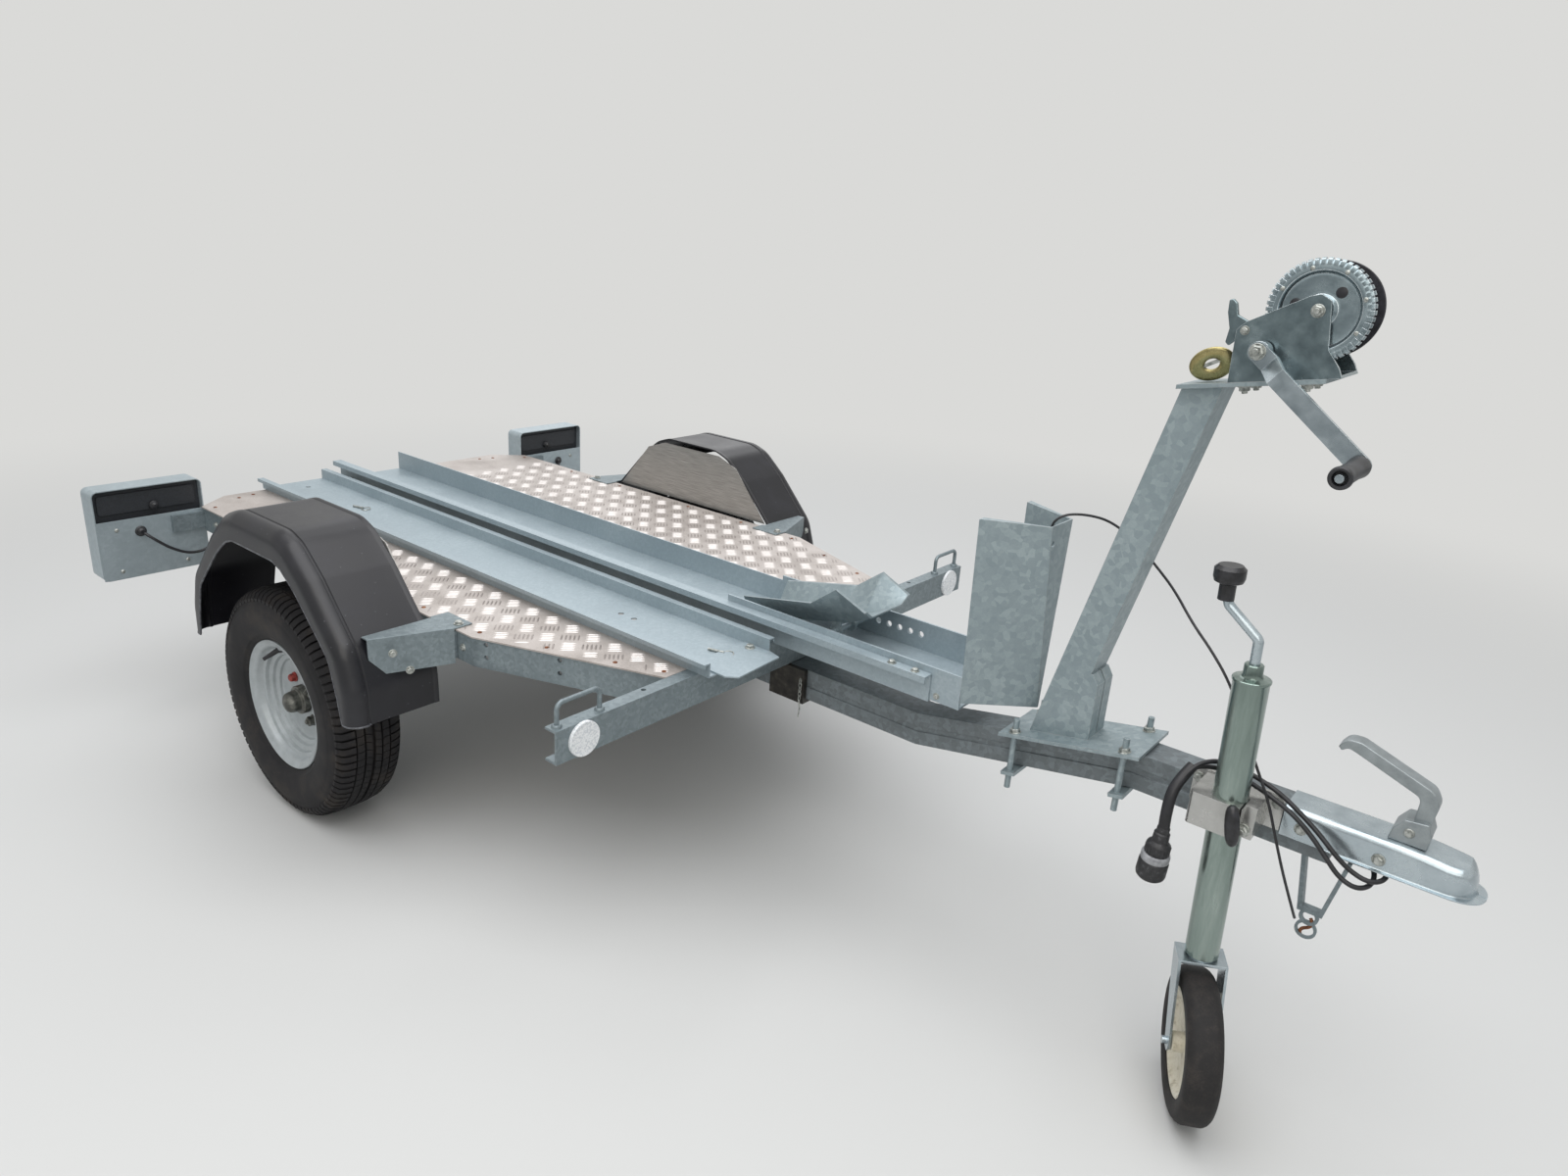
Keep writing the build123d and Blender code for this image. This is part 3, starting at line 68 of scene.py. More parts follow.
def connect(target, **inputs):
    """Fills a node's sockets, by name or by number as _2, with (node, output) pairs to link or values."""
    for name, value in inputs.items():
        socket = target.inputs[int(name[1:]) if name[0] == "_" else name.replace("_", " ")]
        if isinstance(value, tuple) and hasattr(value[0], "outputs"):
            target.id_data.links.new(value[0].outputs[value[1]], socket)
        else:
            socket.default_value = value


def node(tree, kind, settings=None, **inputs):
    """Adds a node with its own settings, and connects its inputs."""
    made = tree.nodes.new("ShaderNode" + kind)
    for option, value in (settings or {}).items():
        setattr(made, option, value)
    connect(made, **inputs)
    return made


def new_material(name):
    """A material with its tree, its Principled shader and the Object coordinates that its patterns follow."""
    material = bpy.data.materials.new(name)
    material.use_nodes = True
    tree = material.node_tree
    return material, tree, tree.nodes["Principled BSDF"], (node(tree, "TexCoord"), "Object")


# Studio floor and light. The floor is plain, pale and matt, and past it the camera
# and the reflections see the same pale tone. A large soft lamp hangs over the
# trailer, with a weak one on the near side and another behind, as under a clouded sky.
bpy.ops.object.select_all(action="DESELECT")
bpy.ops.mesh.primitive_plane_add(size=90, location=(0, 0, 0))
studio_floor = bpy.context.object
studio_floor.name = "studio_floor"
pale_tone = linear("DADAD8")
floor_paint, tree, shader, place = new_material("pale_floor_paint")
connect(shader, Base_Color=linear("CFCFCD"), Roughness=0.9, Specular_IOR_Level=0.05)
distance = node(tree, "VectorMath", {"operation": "LENGTH"}, _0=place)
far_share = node(tree, "MapRange", {"interpolation_type": "SMOOTHSTEP"}, Value=(distance, "Value"), _1=1.7,
                 _2=4.6)
seen = node(tree, "LightPath")
blend = node(tree, "Math", {"operation": "MULTIPLY"}, _0=(far_share, "Result"), _1=(seen, "Is Camera Ray"))
even_tone = node(tree, "Emission", Color=pale_tone, Strength=1.0)
floor_look = node(tree, "MixShader", _0=(blend, "Value"), _1=(shader, "BSDF"), _2=(even_tone, "Emission"))
connect(tree.nodes["Material Output"], Surface=(floor_look, "Shader"))
studio_floor.data.materials.append(floor_paint)

world = bpy.data.worlds.new("pale_studio")
bpy.context.scene.world = world
world.use_nodes = True
tree = world.node_tree
sky_light = tree.nodes["Background"]
connect(sky_light, Color=linear("EDF1F4"), Strength=0.5)
backdrop = node(tree, "Background", Color=pale_tone, Strength=1.0)
ray = node(tree, "LightPath")
mirrored = node(tree, "Math", {"operation": "MAXIMUM"}, _0=(ray, "Is Glossy Ray"),
                _1=(ray, "Is Transmission Ray"))
direct = node(tree, "Math", {"operation": "MAXIMUM"}, _0=(ray, "Is Camera Ray"), _1=(mirrored, "Value"))
shown = node(tree, "MixShader", _0=(direct, "Value"), _1=(sky_light, "Background"),
             _2=(backdrop, "Background"))
connect(tree.nodes["World Output"], Surface=(shown, "Shader"))
bpy.context.scene.view_settings.view_transform = "Standard"

lamp_target = Vector((0.1, 0, 0.4))
for name, place, size, power, tint in (
    ("overhead_lamp", (0.4, -0.7, 4.6), 5.0, 200, "FDFDFF"),
    ("near_lamp", (2.2, -3.2, 2.8), 3.0, 45, "FFFBF5"),
    ("back_lamp", (-3.0, 3.0, 3.2), 4.0, 45, "FAFBFF"),
):
    bpy.ops.object.light_add(type="AREA", location=place)
    lamp = bpy.context.object
    lamp.name = name
    lamp.data.size = size
    lamp.data.energy = power
    lamp.data.color = linear(tint)[:3]
    lamp.rotation_euler = (lamp_target - Vector(place)).to_track_quat("-Z", "Y").to_euler()


# Chassis frame, deck carriers, drawbar and the other welded steel pieces.
# Mild steel channel and folded sheet, hot-dip galvanised after welding: the zinc
# freezes in spangles 5 to 9 mm across and dulls to a blue grey.
def noise(place, scale, detail, broken=0.5):
    """Noise over the surface, its scale in patches to a metre."""
    return node(place[0].id_data, "TexNoise", Vector=place, Scale=scale, Detail=detail,
                Roughness=broken), "Fac"


def weighed(value, share, rest):
    """A share of one value added to the rest."""
    return node(value[0].id_data, "Math", {"operation": "MULTIPLY_ADD"}, _0=value, _1=share, _2=rest), "Value"


def ranged(value, start, end, low, high):
    """What lies from start to end in a value, spread over low to high."""
    return node(value[0].id_data, "MapRange", Value=value, _1=start, _2=end, _3=low, _4=high), "Result"


def dented(height, strength, distance):
    """Bumps that follow a height, their depth in metres."""
    return node(height[0].id_data, "Bump", Strength=strength, Distance=distance, Height=height), "Normal"


def colour_steps(factor, steps):
    """A colour ramp from (place, hex) pairs."""
    ramp = node(factor[0].id_data, "ValToRGB", Fac=factor)
    while len(ramp.color_ramp.elements) < len(steps):
        ramp.color_ramp.elements.new(0.5)
    for element, (place, code) in zip(ramp.color_ramp.elements, steps):
        element.position = place
        element.color = linear(code)
    return ramp, "Color"


def mottled(name, steps, coarse, grain=None, dents=None, **sockets):
    """A material whose colour drifts with a coarse noise, and with a share of a finer one as its grain."""
    material, tree, shader, place = new_material(name)
    tone = noise(place, *coarse)
    if grain:
        scale, detail, share = grain
        tone = weighed(noise(place, scale, detail), share, tone)
    if dents:
        sockets["Normal"] = dented(tone, *dents)
    connect(shader, Base_Color=colour_steps(tone, steps), **sockets)
    return material


def galvanised(name, dark, mid, light, spangle_mm, contrast, rough=0.5, metal=0.55):
    """Hot-dip zinc: crystals of one mean size with ragged edges, clouded, and gritty from weather."""
    material, tree, shader, place = new_material(name)
    warp = noise(place, 30.0, 2.0)[0], "Color"
    shifted = node(tree, "MixRGB", {"blend_type": "ADD"}, Fac=0.012, Color1=place, Color2=warp)
    crystals = node(tree, "TexVoronoi", Vector=(shifted, "Color"), Scale=1000.0 / spangle_mm, Randomness=1.0)
    grey = node(tree, "RGBToBW", Color=(crystals, "Color")), "Val"
    spangle = ranged(grey, 0.15, 0.85, 0.5 - contrast, 0.5 + contrast)
    cloud = noise(place, 7.0, 4.0, 0.6)
    drift = weighed(cloud, 0.45, -0.225)
    grit = weighed(noise(place, 260.0, 3.0, 0.7), 0.24, -0.12)
    total = weighed(weighed(spangle, 1.0, drift), 1.0, grit)
    connect(shader, Base_Color=colour_steps(total, ((0.0, dark), (0.5, mid), (1.0, light))),
            Roughness=ranged(cloud, 0.3, 0.7, rough - 0.08, rough + 0.1),
            Normal=dented(total, 0.12, 0.0004), Metallic=metal)
    return material


def dress(name, material):
    """Gives a CAD node its material."""
    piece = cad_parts[name]
    piece.data.materials.clear()
    piece.data.materials.append(material)
    for face in piece.data.polygons:
        face.material_index = 0


def settle(name, material, body, bevel=0.0, steps=2, smooth=35, edge_material=None,
           stands_for=None):
    """Ends a piece: named, its place put in its mesh, edges broken, shaded, and set on its body."""
    piece = bpy.context.object
    piece.name = name
    bpy.ops.object.transform_apply(location=True, rotation=True, scale=True)
    piece.data.materials.clear()
    piece.data.materials.append(material)
    if bevel:
        edge = piece.modifiers.new("broken_edge", "BEVEL")
        edge.width = bevel / 1000
        edge.segments = steps
        edge.limit_method = "ANGLE"
        edge.angle_limit = math.radians(32)
        edge.harden_normals = False
        # The edge material on the bevel's faces is a painted highlight along the edges; on the wheel stop,
        # post and cradle it also holds a rust bloom
        if edge_material:
            piece.data.materials.append(edge_material)
            edge.material = 1
        bpy.ops.object.modifier_apply(modifier="broken_edge")
    bpy.ops.object.shade_smooth_by_angle(angle=math.radians(smooth))
    if bevel:
        flat = piece.modifiers.new("flat_faces_stay_flat", "WEIGHTED_NORMAL")
        flat.keep_sharp = True
        flat.weight = 90
        bpy.ops.object.modifier_apply(modifier="flat_faces_stay_flat")
    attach(piece, body)
    if stands_for:
        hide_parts(stands_for)
    return piece


def refined(name, material, body, bevel=0.8, steps=2, smooth=35, edge_material=None):
    """A piece from a copy of its CAD node: welded, cleared of flat seams, and its sharp edges rounded."""
    piece = bpy.data.objects.new(name + "_finished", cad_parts[name].data.copy())
    bpy.context.collection.objects.link(piece)
    bpy.ops.object.select_all(action="DESELECT")
    piece.select_set(True)
    bpy.context.view_layer.objects.active = piece
    bpy.ops.object.mode_set(mode="EDIT")
    bpy.ops.mesh.select_all(action="SELECT")
    bpy.ops.mesh.remove_doubles(threshold=0.00002)
    bpy.ops.mesh.dissolve_limited(angle_limit=math.radians(1.0))
    bpy.ops.object.mode_set(mode="OBJECT")
    return settle(name + "_finished", material, body, bevel, steps, smooth,
                  edge_material, name)


sides = (("right", -1), ("left", 1))
frame_zinc = galvanised("galvanised_frame_steel", "5F696D", "7E898D", "9FAAAE", 6, 0.12)
for name in ("chassis_frame", "front_crossbeam", "axle_beam"):
    refined(name, frame_zinc, "chassis", 1.2)
refined("cable_hanger", frame_zinc, "chassis", 0.5)
# The drawbar has weathered darker, with road grime and grease on it
drawbar_zinc = galvanised("grimy_weathered_drawbar_zinc", "56595A", "70777A", "909A9D", 8, 0.13, 0.52, 0.45)
refined("drawbar", drawbar_zinc, "chassis", 1.2)
for side_name, side in sides:
    for end in ("front", "rear"):
        refined(f"{side_name}_{end}_bracket", frame_zinc, "chassis", 0.8)

# The rail, the channel before it and the ramp are folded from brighter pre-galvanised sheet
rail_zinc = galvanised("galvanised_rail_sheet", "87939A", "A0ADB3", "C0CACE", 5, 0.07)
for name in ("main_rail", "front_channel", "loading_ramp"):
    refined(name, rail_zinc, "chassis", 0.9)

# Wheel stop, post and cradle show strong spangles
stop_zinc = galvanised("mottled_galvanised_sheet", "76858A", "8F9CA0", "B2BEC0", 9, 0.135, 0.45, 0.5)
# Edges with a light bloom of rust in the thinned zinc, and pale zinc along them as a painted highlight
rust_to_highlight_steps = ((0.36, "8A7060"), (0.46, "9C9C98"), (0.62, "BAC3C6"))
rust_and_painted_highlight_edge = mottled("rust_bloom_and_painted_highlight_zinc_edge", rust_to_highlight_steps, (16.0, 5.0, 0.7),
                      Metallic=0.5, Roughness=0.42)
for name, body, bevel in (
    ("wheel_stop", "chassis", 1.6), ("winch_post", "chassis", 1.2), ("wheel_cradle", "cradle", 1.3),
):
    refined(name, stop_zinc, body, bevel, edge_material=rust_and_painted_highlight_edge)
# The lamp boxes are of paler sheet, least weathered of all
lamp_zinc = galvanised("pale_galvanised_lamp_sheet", "8E9A9F", "A6B2B7", "C4CED2", 8, 0.08, 0.42, 0.5)
for side_name, side in sides:
    refined(f"{side_name}_lamp_box", lamp_zinc, "chassis", 0.9)

# The drawbar socket is a dark casting under a film of grease
greasy = mottled("greasy_cast_iron", ((0.3, "15130F"), (0.55, "2B2823"), (0.8, "4A463F")), (60.0, 5.0),
                 Roughness=0.45, Metallic=0.3)
dress("drawbar_socket", greasy)


# Deck, aluminium tread plate with five raised bars to a group, the groups turned
# by 90 degrees in a chequer that stands at 45 degrees to the trailer.
# The sheet itself: aluminium smeared by tyres and boots, with rolling grain
deck_alloy = mottled("rolled_tread_aluminium", ((0.35, "938B85"), (0.6, "B1A9A3"), (0.9, "C7C0BB")),
                     (9.0, 5.0, 0.65), grain=(320.0, 2.0, 0.3), Metallic=0.35, Roughness=0.5)
dress("deck_sheet", deck_alloy)

# Bar tops: those of one direction are painted lighter, a painted highlight for the light they catch, those of
# the other keep the sheet's tone
highlighted_and_plain_bar_tops = []
for name, code in (("painted_highlight_bar_tops", "E8E4E1"), ("plain_deck_tone_bar_tops", "B3ABA6")):
    bar_top, tree, shader, place = new_material(name)
    wear = noise(place, 90.0, 3.0)
    tint = node(tree, "MixRGB", {"blend_type": "MULTIPLY"}, Fac=wear, Color1=linear(code),
                Color2=linear("CFCBC8"))
    connect(shader, Base_Color=(tint, "Color"), Metallic=0.35, Roughness=0.35)
    highlighted_and_plain_bar_tops.append(bar_top)

deck_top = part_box("deck_sheet")[1].z
axle_x = -0.615
group_pitch = 0.0594
bar_pitch = 0.0078
bar_half_l = 0.0145
bar_half_w = 0.0021
bar_h = 0.0012
bar_foot = 0.0001


def on_deck(x, y):
    """True where the tread shows: inside the deck's outline, clear of the rail and the stowed ramp."""
    half_width, rear, taper_back, taper_front, front = 0.474, -0.722, -0.662, 0.425, 0.785
    axle = x - axle_x
    edge = half_width - max(axle - taper_front, 0) * 0.37 - max(taper_back - axle, 0) * 1.3
    on_rail, on_ramp = abs(y) <= 0.092, -0.300 < y < -0.128
    return abs(y) <= edge and rear <= axle <= front and not on_rail and not on_ramp


# A bar as (along, across, rise) in shares of its half length, half width and height
bar_corners = ((-1, 0, 0), (-0.6, -1, 0), (0.6, -1, 0), (1, 0, 0), (0.6, 1, 0), (-0.6, 1, 0),
               (-0.55, 0, 1), (0.55, 0, 1))
bar_faces = ((0, 1, 6), (1, 2, 7, 6), (2, 3, 7), (3, 4, 7), (4, 5, 6, 7), (5, 0, 6))
corners, faces, highlight_groups = [], [], []
row_x = -0.330
for side, row_y in ((-1, -0.382), (1, 0.315)):
    for column in range(-14, 16):
        for row in range(-6, 8):
            for group, (shift, turn) in enumerate(((0, 45), (0.5, -45))):
                middle = Vector((row_x, row_y)) + Vector((column + shift, row + shift)) * group_pitch
                along = Vector((math.cos(math.radians(turn)), math.sin(math.radians(turn))))
                across = Vector((-along.y, along.x))
                for bar in range(-2, 3):
                    centre = middle + across * bar * bar_pitch
                    ends = [centre + along * bar_half_l * way for way in (-1, 1)]
                    if centre.y * side <= 0 or not all(on_deck(end.x, end.y) for end in ends):
                        continue
                    first = len(corners)
                    for along_share, across_share, rise in bar_corners:
                        flat = centre + along * bar_half_l * along_share + across * bar_half_w * across_share
                        corners.append((flat.x, flat.y, deck_top + bar_h * rise - bar_foot * (1 - rise)))
                    faces += [[first + corner for corner in face] for face in bar_faces]
                    highlight_groups += [group] * len(bar_faces)
bars_mesh = bpy.data.meshes.new("tread_bars")
bars_mesh.from_pydata(corners, [], faces)
tread_bars = bpy.data.objects.new("tread_bars", bars_mesh)
bpy.context.collection.objects.link(tread_bars)
for material in highlighted_and_plain_bar_tops:
    bars_mesh.materials.append(material)
# Bars of one direction take the painted highlight, the others the plain tone
for face, tone in zip(bars_mesh.polygons, highlight_groups):
    face.material_index = tone
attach(tread_bars, "chassis")


# Cables. Two 7 mm strands of the trailer's lead come out of the end of the
# drawbar, pass under the coupling's edge and over the clamp, and hang in their plug.
# A thin breakaway line runs from the wheel stop to the hanger, and a lead to each lamp.
# All have the same sheath of black PVC, dusty from the road
cable_rubber = mottled("black_cable_pvc", ((0.35, "141416"), (0.7, "26262A")), (45.0, 4.0), Roughness=0.42)


def spot(x, y, z):
    """A place in the shared frame from millimetres, X measured from the axle line of the road wheels."""
    return Vector(((x - 615) / 1000, y / 1000, z / 1000))


def strand(name, points, diameter, material, kind="NURBS", closed=False, caps=True,
           bend_steps=10, round_steps=5):
    """A round cord, wire or bead of the chassis, on a smooth line of millimetre points."""
    line = bpy.data.curves.new(name, "CURVE")
    line.dimensions = "3D"
    run = line.splines.new(kind)
    run.points.add(len(points) - 1)
    for knot, point in zip(run.points, points):
        knot.co = (*spot(*point), 1)
    run.order_u = 3
    run.use_endpoint_u = not closed
    run.use_cyclic_u = closed
    run.resolution_u = bend_steps
    line.bevel_depth = diameter / 2000
    line.bevel_resolution = round_steps
    line.use_fill_caps = caps and not closed
    piece = bpy.data.objects.new(name, line)
    bpy.context.collection.objects.link(piece)
    line.materials.append(material)
    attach(piece, "chassis")
    return piece


trailer_lead = strand("trailer_lead", [
    (1790, 3, 478), (1818, 2, 477), (1846, 1, 468), (1862, -15, 456), (1862, -38, 448), (1846, -54, 446),
    (1822, -55, 453), (1800, -56, 468), (1774, -53, 489), (1744, -50, 508), (1711, -47, 526),
    (1667, -46, 539), (1628, -58, 548), (1604, -84, 541), (1592, -108, 516), (1592, -117, 480),
    (1593, -119, 449),
], 7, cable_rubber)
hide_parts("trailer_cable")

second_lead = strand("trailer_lead_second", [
    (1790, -8, 470), (1812, -8, 469), (1833, -9, 461), (1849, -25, 447), (1849, -46, 437), (1834, -62, 434),
    (1811, -64, 443), (1790, -62, 463), (1766, -60, 486), (1738, -59, 506), (1706, -56, 519),
    (1668, -50, 528), (1634, -54, 535), (1598, -77, 534), (1585, -103, 512), (1583, -122, 480),
    (1586, -123, 449),
], 7, cable_rubber)
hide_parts("trailer_cable_second")

breakaway = strand("breakaway_line", [
    (1308.9, -18, 774), (1301, -24, 812), (1318, -20, 836), (1345, 6, 838), (1376, 34, 829), (1418, 43, 803),
    (1458, 41, 772), (1496, 20, 751), (1540, -16, 722), (1582, -42, 698), (1616, -51, 664), (1645, -54, 616),
    (1675, -58, 561), (1705, -62, 512), (1722, -61, 467), (1741, -56, 417), (1757, -44, 372),
    (1768, -22, 330),
], 4, cable_rubber)
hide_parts("breakaway_cable")

for side_name, side in sides:
    lamp_lead = strand(f"{side_name}_lamp_lead", [
        (-686.9, side * 620, 448), (-664, side * 616, 444), (-652, side * 596, 424), (-650, side * 566, 398),
        (-650, side * 532, 380), (-648, side * 502, 378), (-644, side * 474, 390), (-643, side * 464, 422.4),
    ], 7, cable_rubber)
    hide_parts(f"{side_name}_lamp_cable")


# Road wheels. Pressed steel rims, stove enamelled silver, with a four-stud hub whose
# grease cap shows in the dish, and radial tyres with lugs on the shoulders and slanting
# sipes in the ribs.
def turned(profile, centre, axis, steps=96):
    """A lathe: one corner extruded along a profile of (radius, along) millimetres and spun round the axis."""
    bpy.ops.object.select_all(action="DESELECT")
    axis = Vector(axis).normalized()
    across = axis.orthogonal().normalized()
    centre = Vector(centre)
    start = centre + (across * profile[0][0] + axis * profile[0][1]) / 1000
    bpy.ops.mesh.primitive_circle_add(vertices=3, radius=0.0001, location=start)
    bpy.ops.object.transform_apply(location=True)
    bpy.ops.object.mode_set(mode="EDIT")
    bpy.ops.mesh.select_all(action="SELECT")
    bpy.ops.mesh.merge(type="CENTER")
    for (r1, a1), (r2, a2) in zip(profile, profile[1:]):
        step = (across * (r2 - r1) + axis * (a2 - a1)) / 1000
        bpy.ops.mesh.extrude_region_move(TRANSFORM_OT_translate={"value": step})
    bpy.ops.mesh.select_all(action="SELECT")
    bpy.ops.mesh.spin(steps=steps, angle=2 * math.pi, center=centre, axis=axis)
    bpy.ops.mesh.select_all(action="SELECT")
    bpy.ops.mesh.remove_doubles(threshold=0.000002)
    bpy.ops.mesh.normals_make_consistent(inside=False)
    bpy.ops.object.mode_set(mode="OBJECT")
    return bpy.context.object


def joined(*others):
    """Joins the other objects into the active one."""
    first = bpy.context.object
    bpy.ops.object.select_all(action="DESELECT")
    for other in (*others, first):
        other.select_set(True)
    bpy.context.view_layer.objects.active = first
    bpy.ops.object.join()
    return first


def placed(master, name, where, direction, body, turn=0.0, scale=1.0):
    """A copy of a small part modelled at the origin along +Z, set at a place and pointing a way."""
    copy = master.copy()
    copy.data = master.data.copy()
    aim = Vector(direction).to_track_quat("Z", "Y").to_matrix().to_4x4()
    turned_and_sized = Matrix.Rotation(turn, 4, "Z") @ Matrix.Scale(scale, 4)
    copy.data.transform(Matrix.Translation(where) @ aim @ turned_and_sized)
    copy.name = name
    bpy.context.collection.objects.link(copy)
    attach(copy, body)
    return copy


def drawn_plate(corners, push, repeats=1, centre=None):
    """A plate through its corners, drawn out by a push in metres, and repeated round a centre's Y axis."""
    bpy.ops.object.select_all(action="DESELECT")
    bpy.ops.mesh.primitive_circle_add(vertices=len(corners), radius=0.01, fill_type="NGON")
    bpy.ops.object.mode_set(mode="EDIT")
    shape = bmesh.from_edit_mesh(bpy.context.object.data)
    for vertex, corner in zip(shape.verts, corners):
        vertex.co = corner
    bmesh.update_edit_mesh(bpy.context.object.data)
    bpy.ops.mesh.extrude_region_move(TRANSFORM_OT_translate={"value": push})
    bpy.ops.mesh.select_all(action="SELECT")
    bpy.ops.mesh.normals_make_consistent(inside=False)
    if repeats > 1:
        turn = 2 * math.pi * (repeats - 1) / repeats
        bpy.ops.mesh.spin(steps=repeats - 1, angle=turn, center=centre, axis=(0, 1, 0), dupli=True)
    bpy.ops.object.mode_set(mode="OBJECT")
    return bpy.context.object


# Stove enamel over pressed steel: even silver, with a little dust
wheel_enamel, tree, shader, place = new_material("silver_stove_enamel")
dust = noise(place, 38.0, 6.0, 0.7)
flaked = weighed(noise(place, 900.0, 1.0), 0.2, dust)
silver = colour_steps(flaked, ((0.35, "989E9F"), (0.6, "A6ACAE"), (0.85, "B2B8BA")))
connect(shader, Base_Color=silver,
        Roughness=ranged(dust, 0.3, 0.7, 0.3, 0.45), Metallic=0.2)
# Weathered tyre rubber, with a brown-grey bloom over the black
tyre_rubber = mottled("weathered_tyre_rubber", ((0.4, "141415"), (0.62, "1E1D1F"), (0.85, "342F2B")),
                      (16.0, 6.0, 0.65), grain=(420.0, 3.0, 0.25), dents=(0.25, 0.0005),
                      Roughness=0.72, Specular_IOR_Level=0.35)
# Bare hub steel under old oil
dark_grease = mottled("oily_grey_hub_steel", ((0.35, "3F3F3B"), (0.55, "6A6A64"), (0.8, "A09F98")),
                      (70.0, 5.0), Roughness=0.38, Metallic=0.6)
# The push-on cap of a wheel nut, bleached by the sun
red_cap = mottled("faded_red_polythene", ((0.3, "5E2320"), (0.6, "9A3B34"), (0.9, "B5534A")), (150.0, 3.0),
                  Roughness=0.5)

# Tread pitch: lugs and ribs as corners of (round the tyre, across it, radius) in millimetres.
tread_pitches = 88
tread_sunk = 6.5
lug_height = 0.0064
tread_blocks = (
    ((-6.9, 36.5, 241.5), (6.9, 36.5, 241.5), (7.4, 49, 240), (7.4, 60, 234.5), (6.6, 67, 224),
     (-5.2, 67, 224), (-4.6, 60, 234.5),
     (-5.8, 49, 240)),
    ((-9.8, 19.5, 243), (6.0, 19.5, 243), (8.0, 26, 242.8), (7.4, 33.5, 242), (-8.4, 33.5, 242),
     (-7.8, 26, 242.8)),
    ((-5.4, 3.5, 243), (10.4, 3.5, 243), (5.4, 16, 243), (-10.4, 16, 243)),
)
for side_name, side in sides:
    wheel = f"{side_name}_wheel"
    hub_centre = Vector((-0.615, side * 0.580, 0.243))
    out = Vector((0, side, 0))

    turned([
        (30.1, 12), (58, 12), (78, 12.4), (84, 13), (86, 14.6), (87.4, 19.4), (89.4, 21), (94.6, 21.6),
        (96.4, 23), (98, 28.6), (100, 30), (105.4, 30.6), (107.2, 32), (109, 38.4), (111, 39.8),
        (115.6, 40.4), (117.4, 42), (119.4, 49), (121.4, 52), (125, 54.4), (130, 55.6), (133, 58.5),
        (135, 59.6), (136.5, 58.2), (136.5, 52), (134, 50.5), (129, 50), (127.4, 46), (126.4, 30), (122, 18),
        (107, 8), (107, -12), (126, -20), (127.4, -50), (134, -50.5), (136.5, -53), (136.5, -59),
        (133.5, -59.8), (124, -55), (121.5, -30), (103, -18), (102.6, 15), (90, 9), (80, 8), (30.1, 8),
        (30.1, 12),
    ], hub_centre, out, 120)
    settle(f"{side_name}_rim_pressing", wheel_enamel, wheel, smooth=34,
           stands_for=f"{side_name}_rim")

    turned([
        (0, 53.8), (6, 53.6), (12, 52.6), (17, 50.2), (20.4, 46), (21.8, 40), (22.4, 29), (24, 27.4),
        (28.4, 27), (29.9, 25.4), (29.9, 7.6), (55, 7.6), (55, 0), (34, 0), (34, -105), (15.1, -105),
        (15.1, 13), (0, 13),
    ], hub_centre, out, 64)
    settle(f"{side_name}_hub_and_cap", dark_grease, wheel, smooth=40,
           stands_for=f"{side_name}_hub")

    # Carcass, with a rib round the wall and the tread's base sunk below the lugs
    half = [
        (127.7, 48), (134, 52.5), (139, 57.5), (143, 60.5), (147, 62.5), (148.5, 64.6), (151, 65.4),
        (160, 68.2), (172, 70.9), (190, 72.5), (201, 72.2), (203, 71.2), (205, 71.4), (214, 68.4),
        (220, 64.5), (225, 60), (229, 54), (232.5, 44), (235.5, 30), (236, 0),
    ]
    carcass = turned(half + [(r, -t) for r, t in reversed(half[:-1])], hub_centre, out, 120)
    parts = []
    for way in (-1, 1):
        for corners in tread_blocks:
            feet = []
            for round_by, across_by, radius in corners:
                height = math.sqrt((radius - tread_sunk) ** 2 - round_by ** 2)
                feet.append(hub_centre + Vector((way * round_by, side * way * across_by, height)) / 1000)
            parts.append(drawn_plate(feet, (0, 0, lug_height), tread_pitches, hub_centre))
    bpy.context.view_layer.objects.active = carcass
    joined(*parts)
    settle(f"{side_name}_tyre_with_tread", tyre_rubber, wheel, smooth=38,
           stands_for=f"{side_name}_tyre")

    # Four wheel nuts on a 98 mm circle, one still with its red cap, and a snap-in valve
    for count, (turn, capped) in enumerate(((38, False), (128, True), (218, False), (308, False))):
        angle = math.radians(turn)
        foot = hub_centre + Vector((math.cos(angle), 0, math.sin(angle))) * 0.049 + out * 0.0121
        turned([(0, 13.5), (5, 13.5), (7.6, 11.5), (8.4, 9), (8.4, 3), (10.6, 2.5), (10.6, 0),
                (0, 0)] if capped else
               [(0, 17), (4.6, 17), (5, 16), (5, 13), (8.6, 13), (10.4, 11.5), (10.4, 2), (12.4, 1.5),
                (12.4, 0), (0, 0)],
               foot, out, 18 if capped else 6)
        settle(f"{side_name}_wheel_nut_{count + 1}", red_cap if capped else dark_grease, wheel,
               smooth=25)
    valve_way = Vector((-0.34, side * 0.8, -0.5)).normalized()
    turned([(0, 42), (3.4, 42), (4, 41), (4, 31), (4.6, 30), (5.4, 12), (8, 6), (9, 0), (0, 0)],
           hub_centre + Vector((-0.036, side * 0.030, 0.107)), valve_way, 20)
    settle(f"{side_name}_tyre_valve", cable_rubber, wheel, smooth=40)


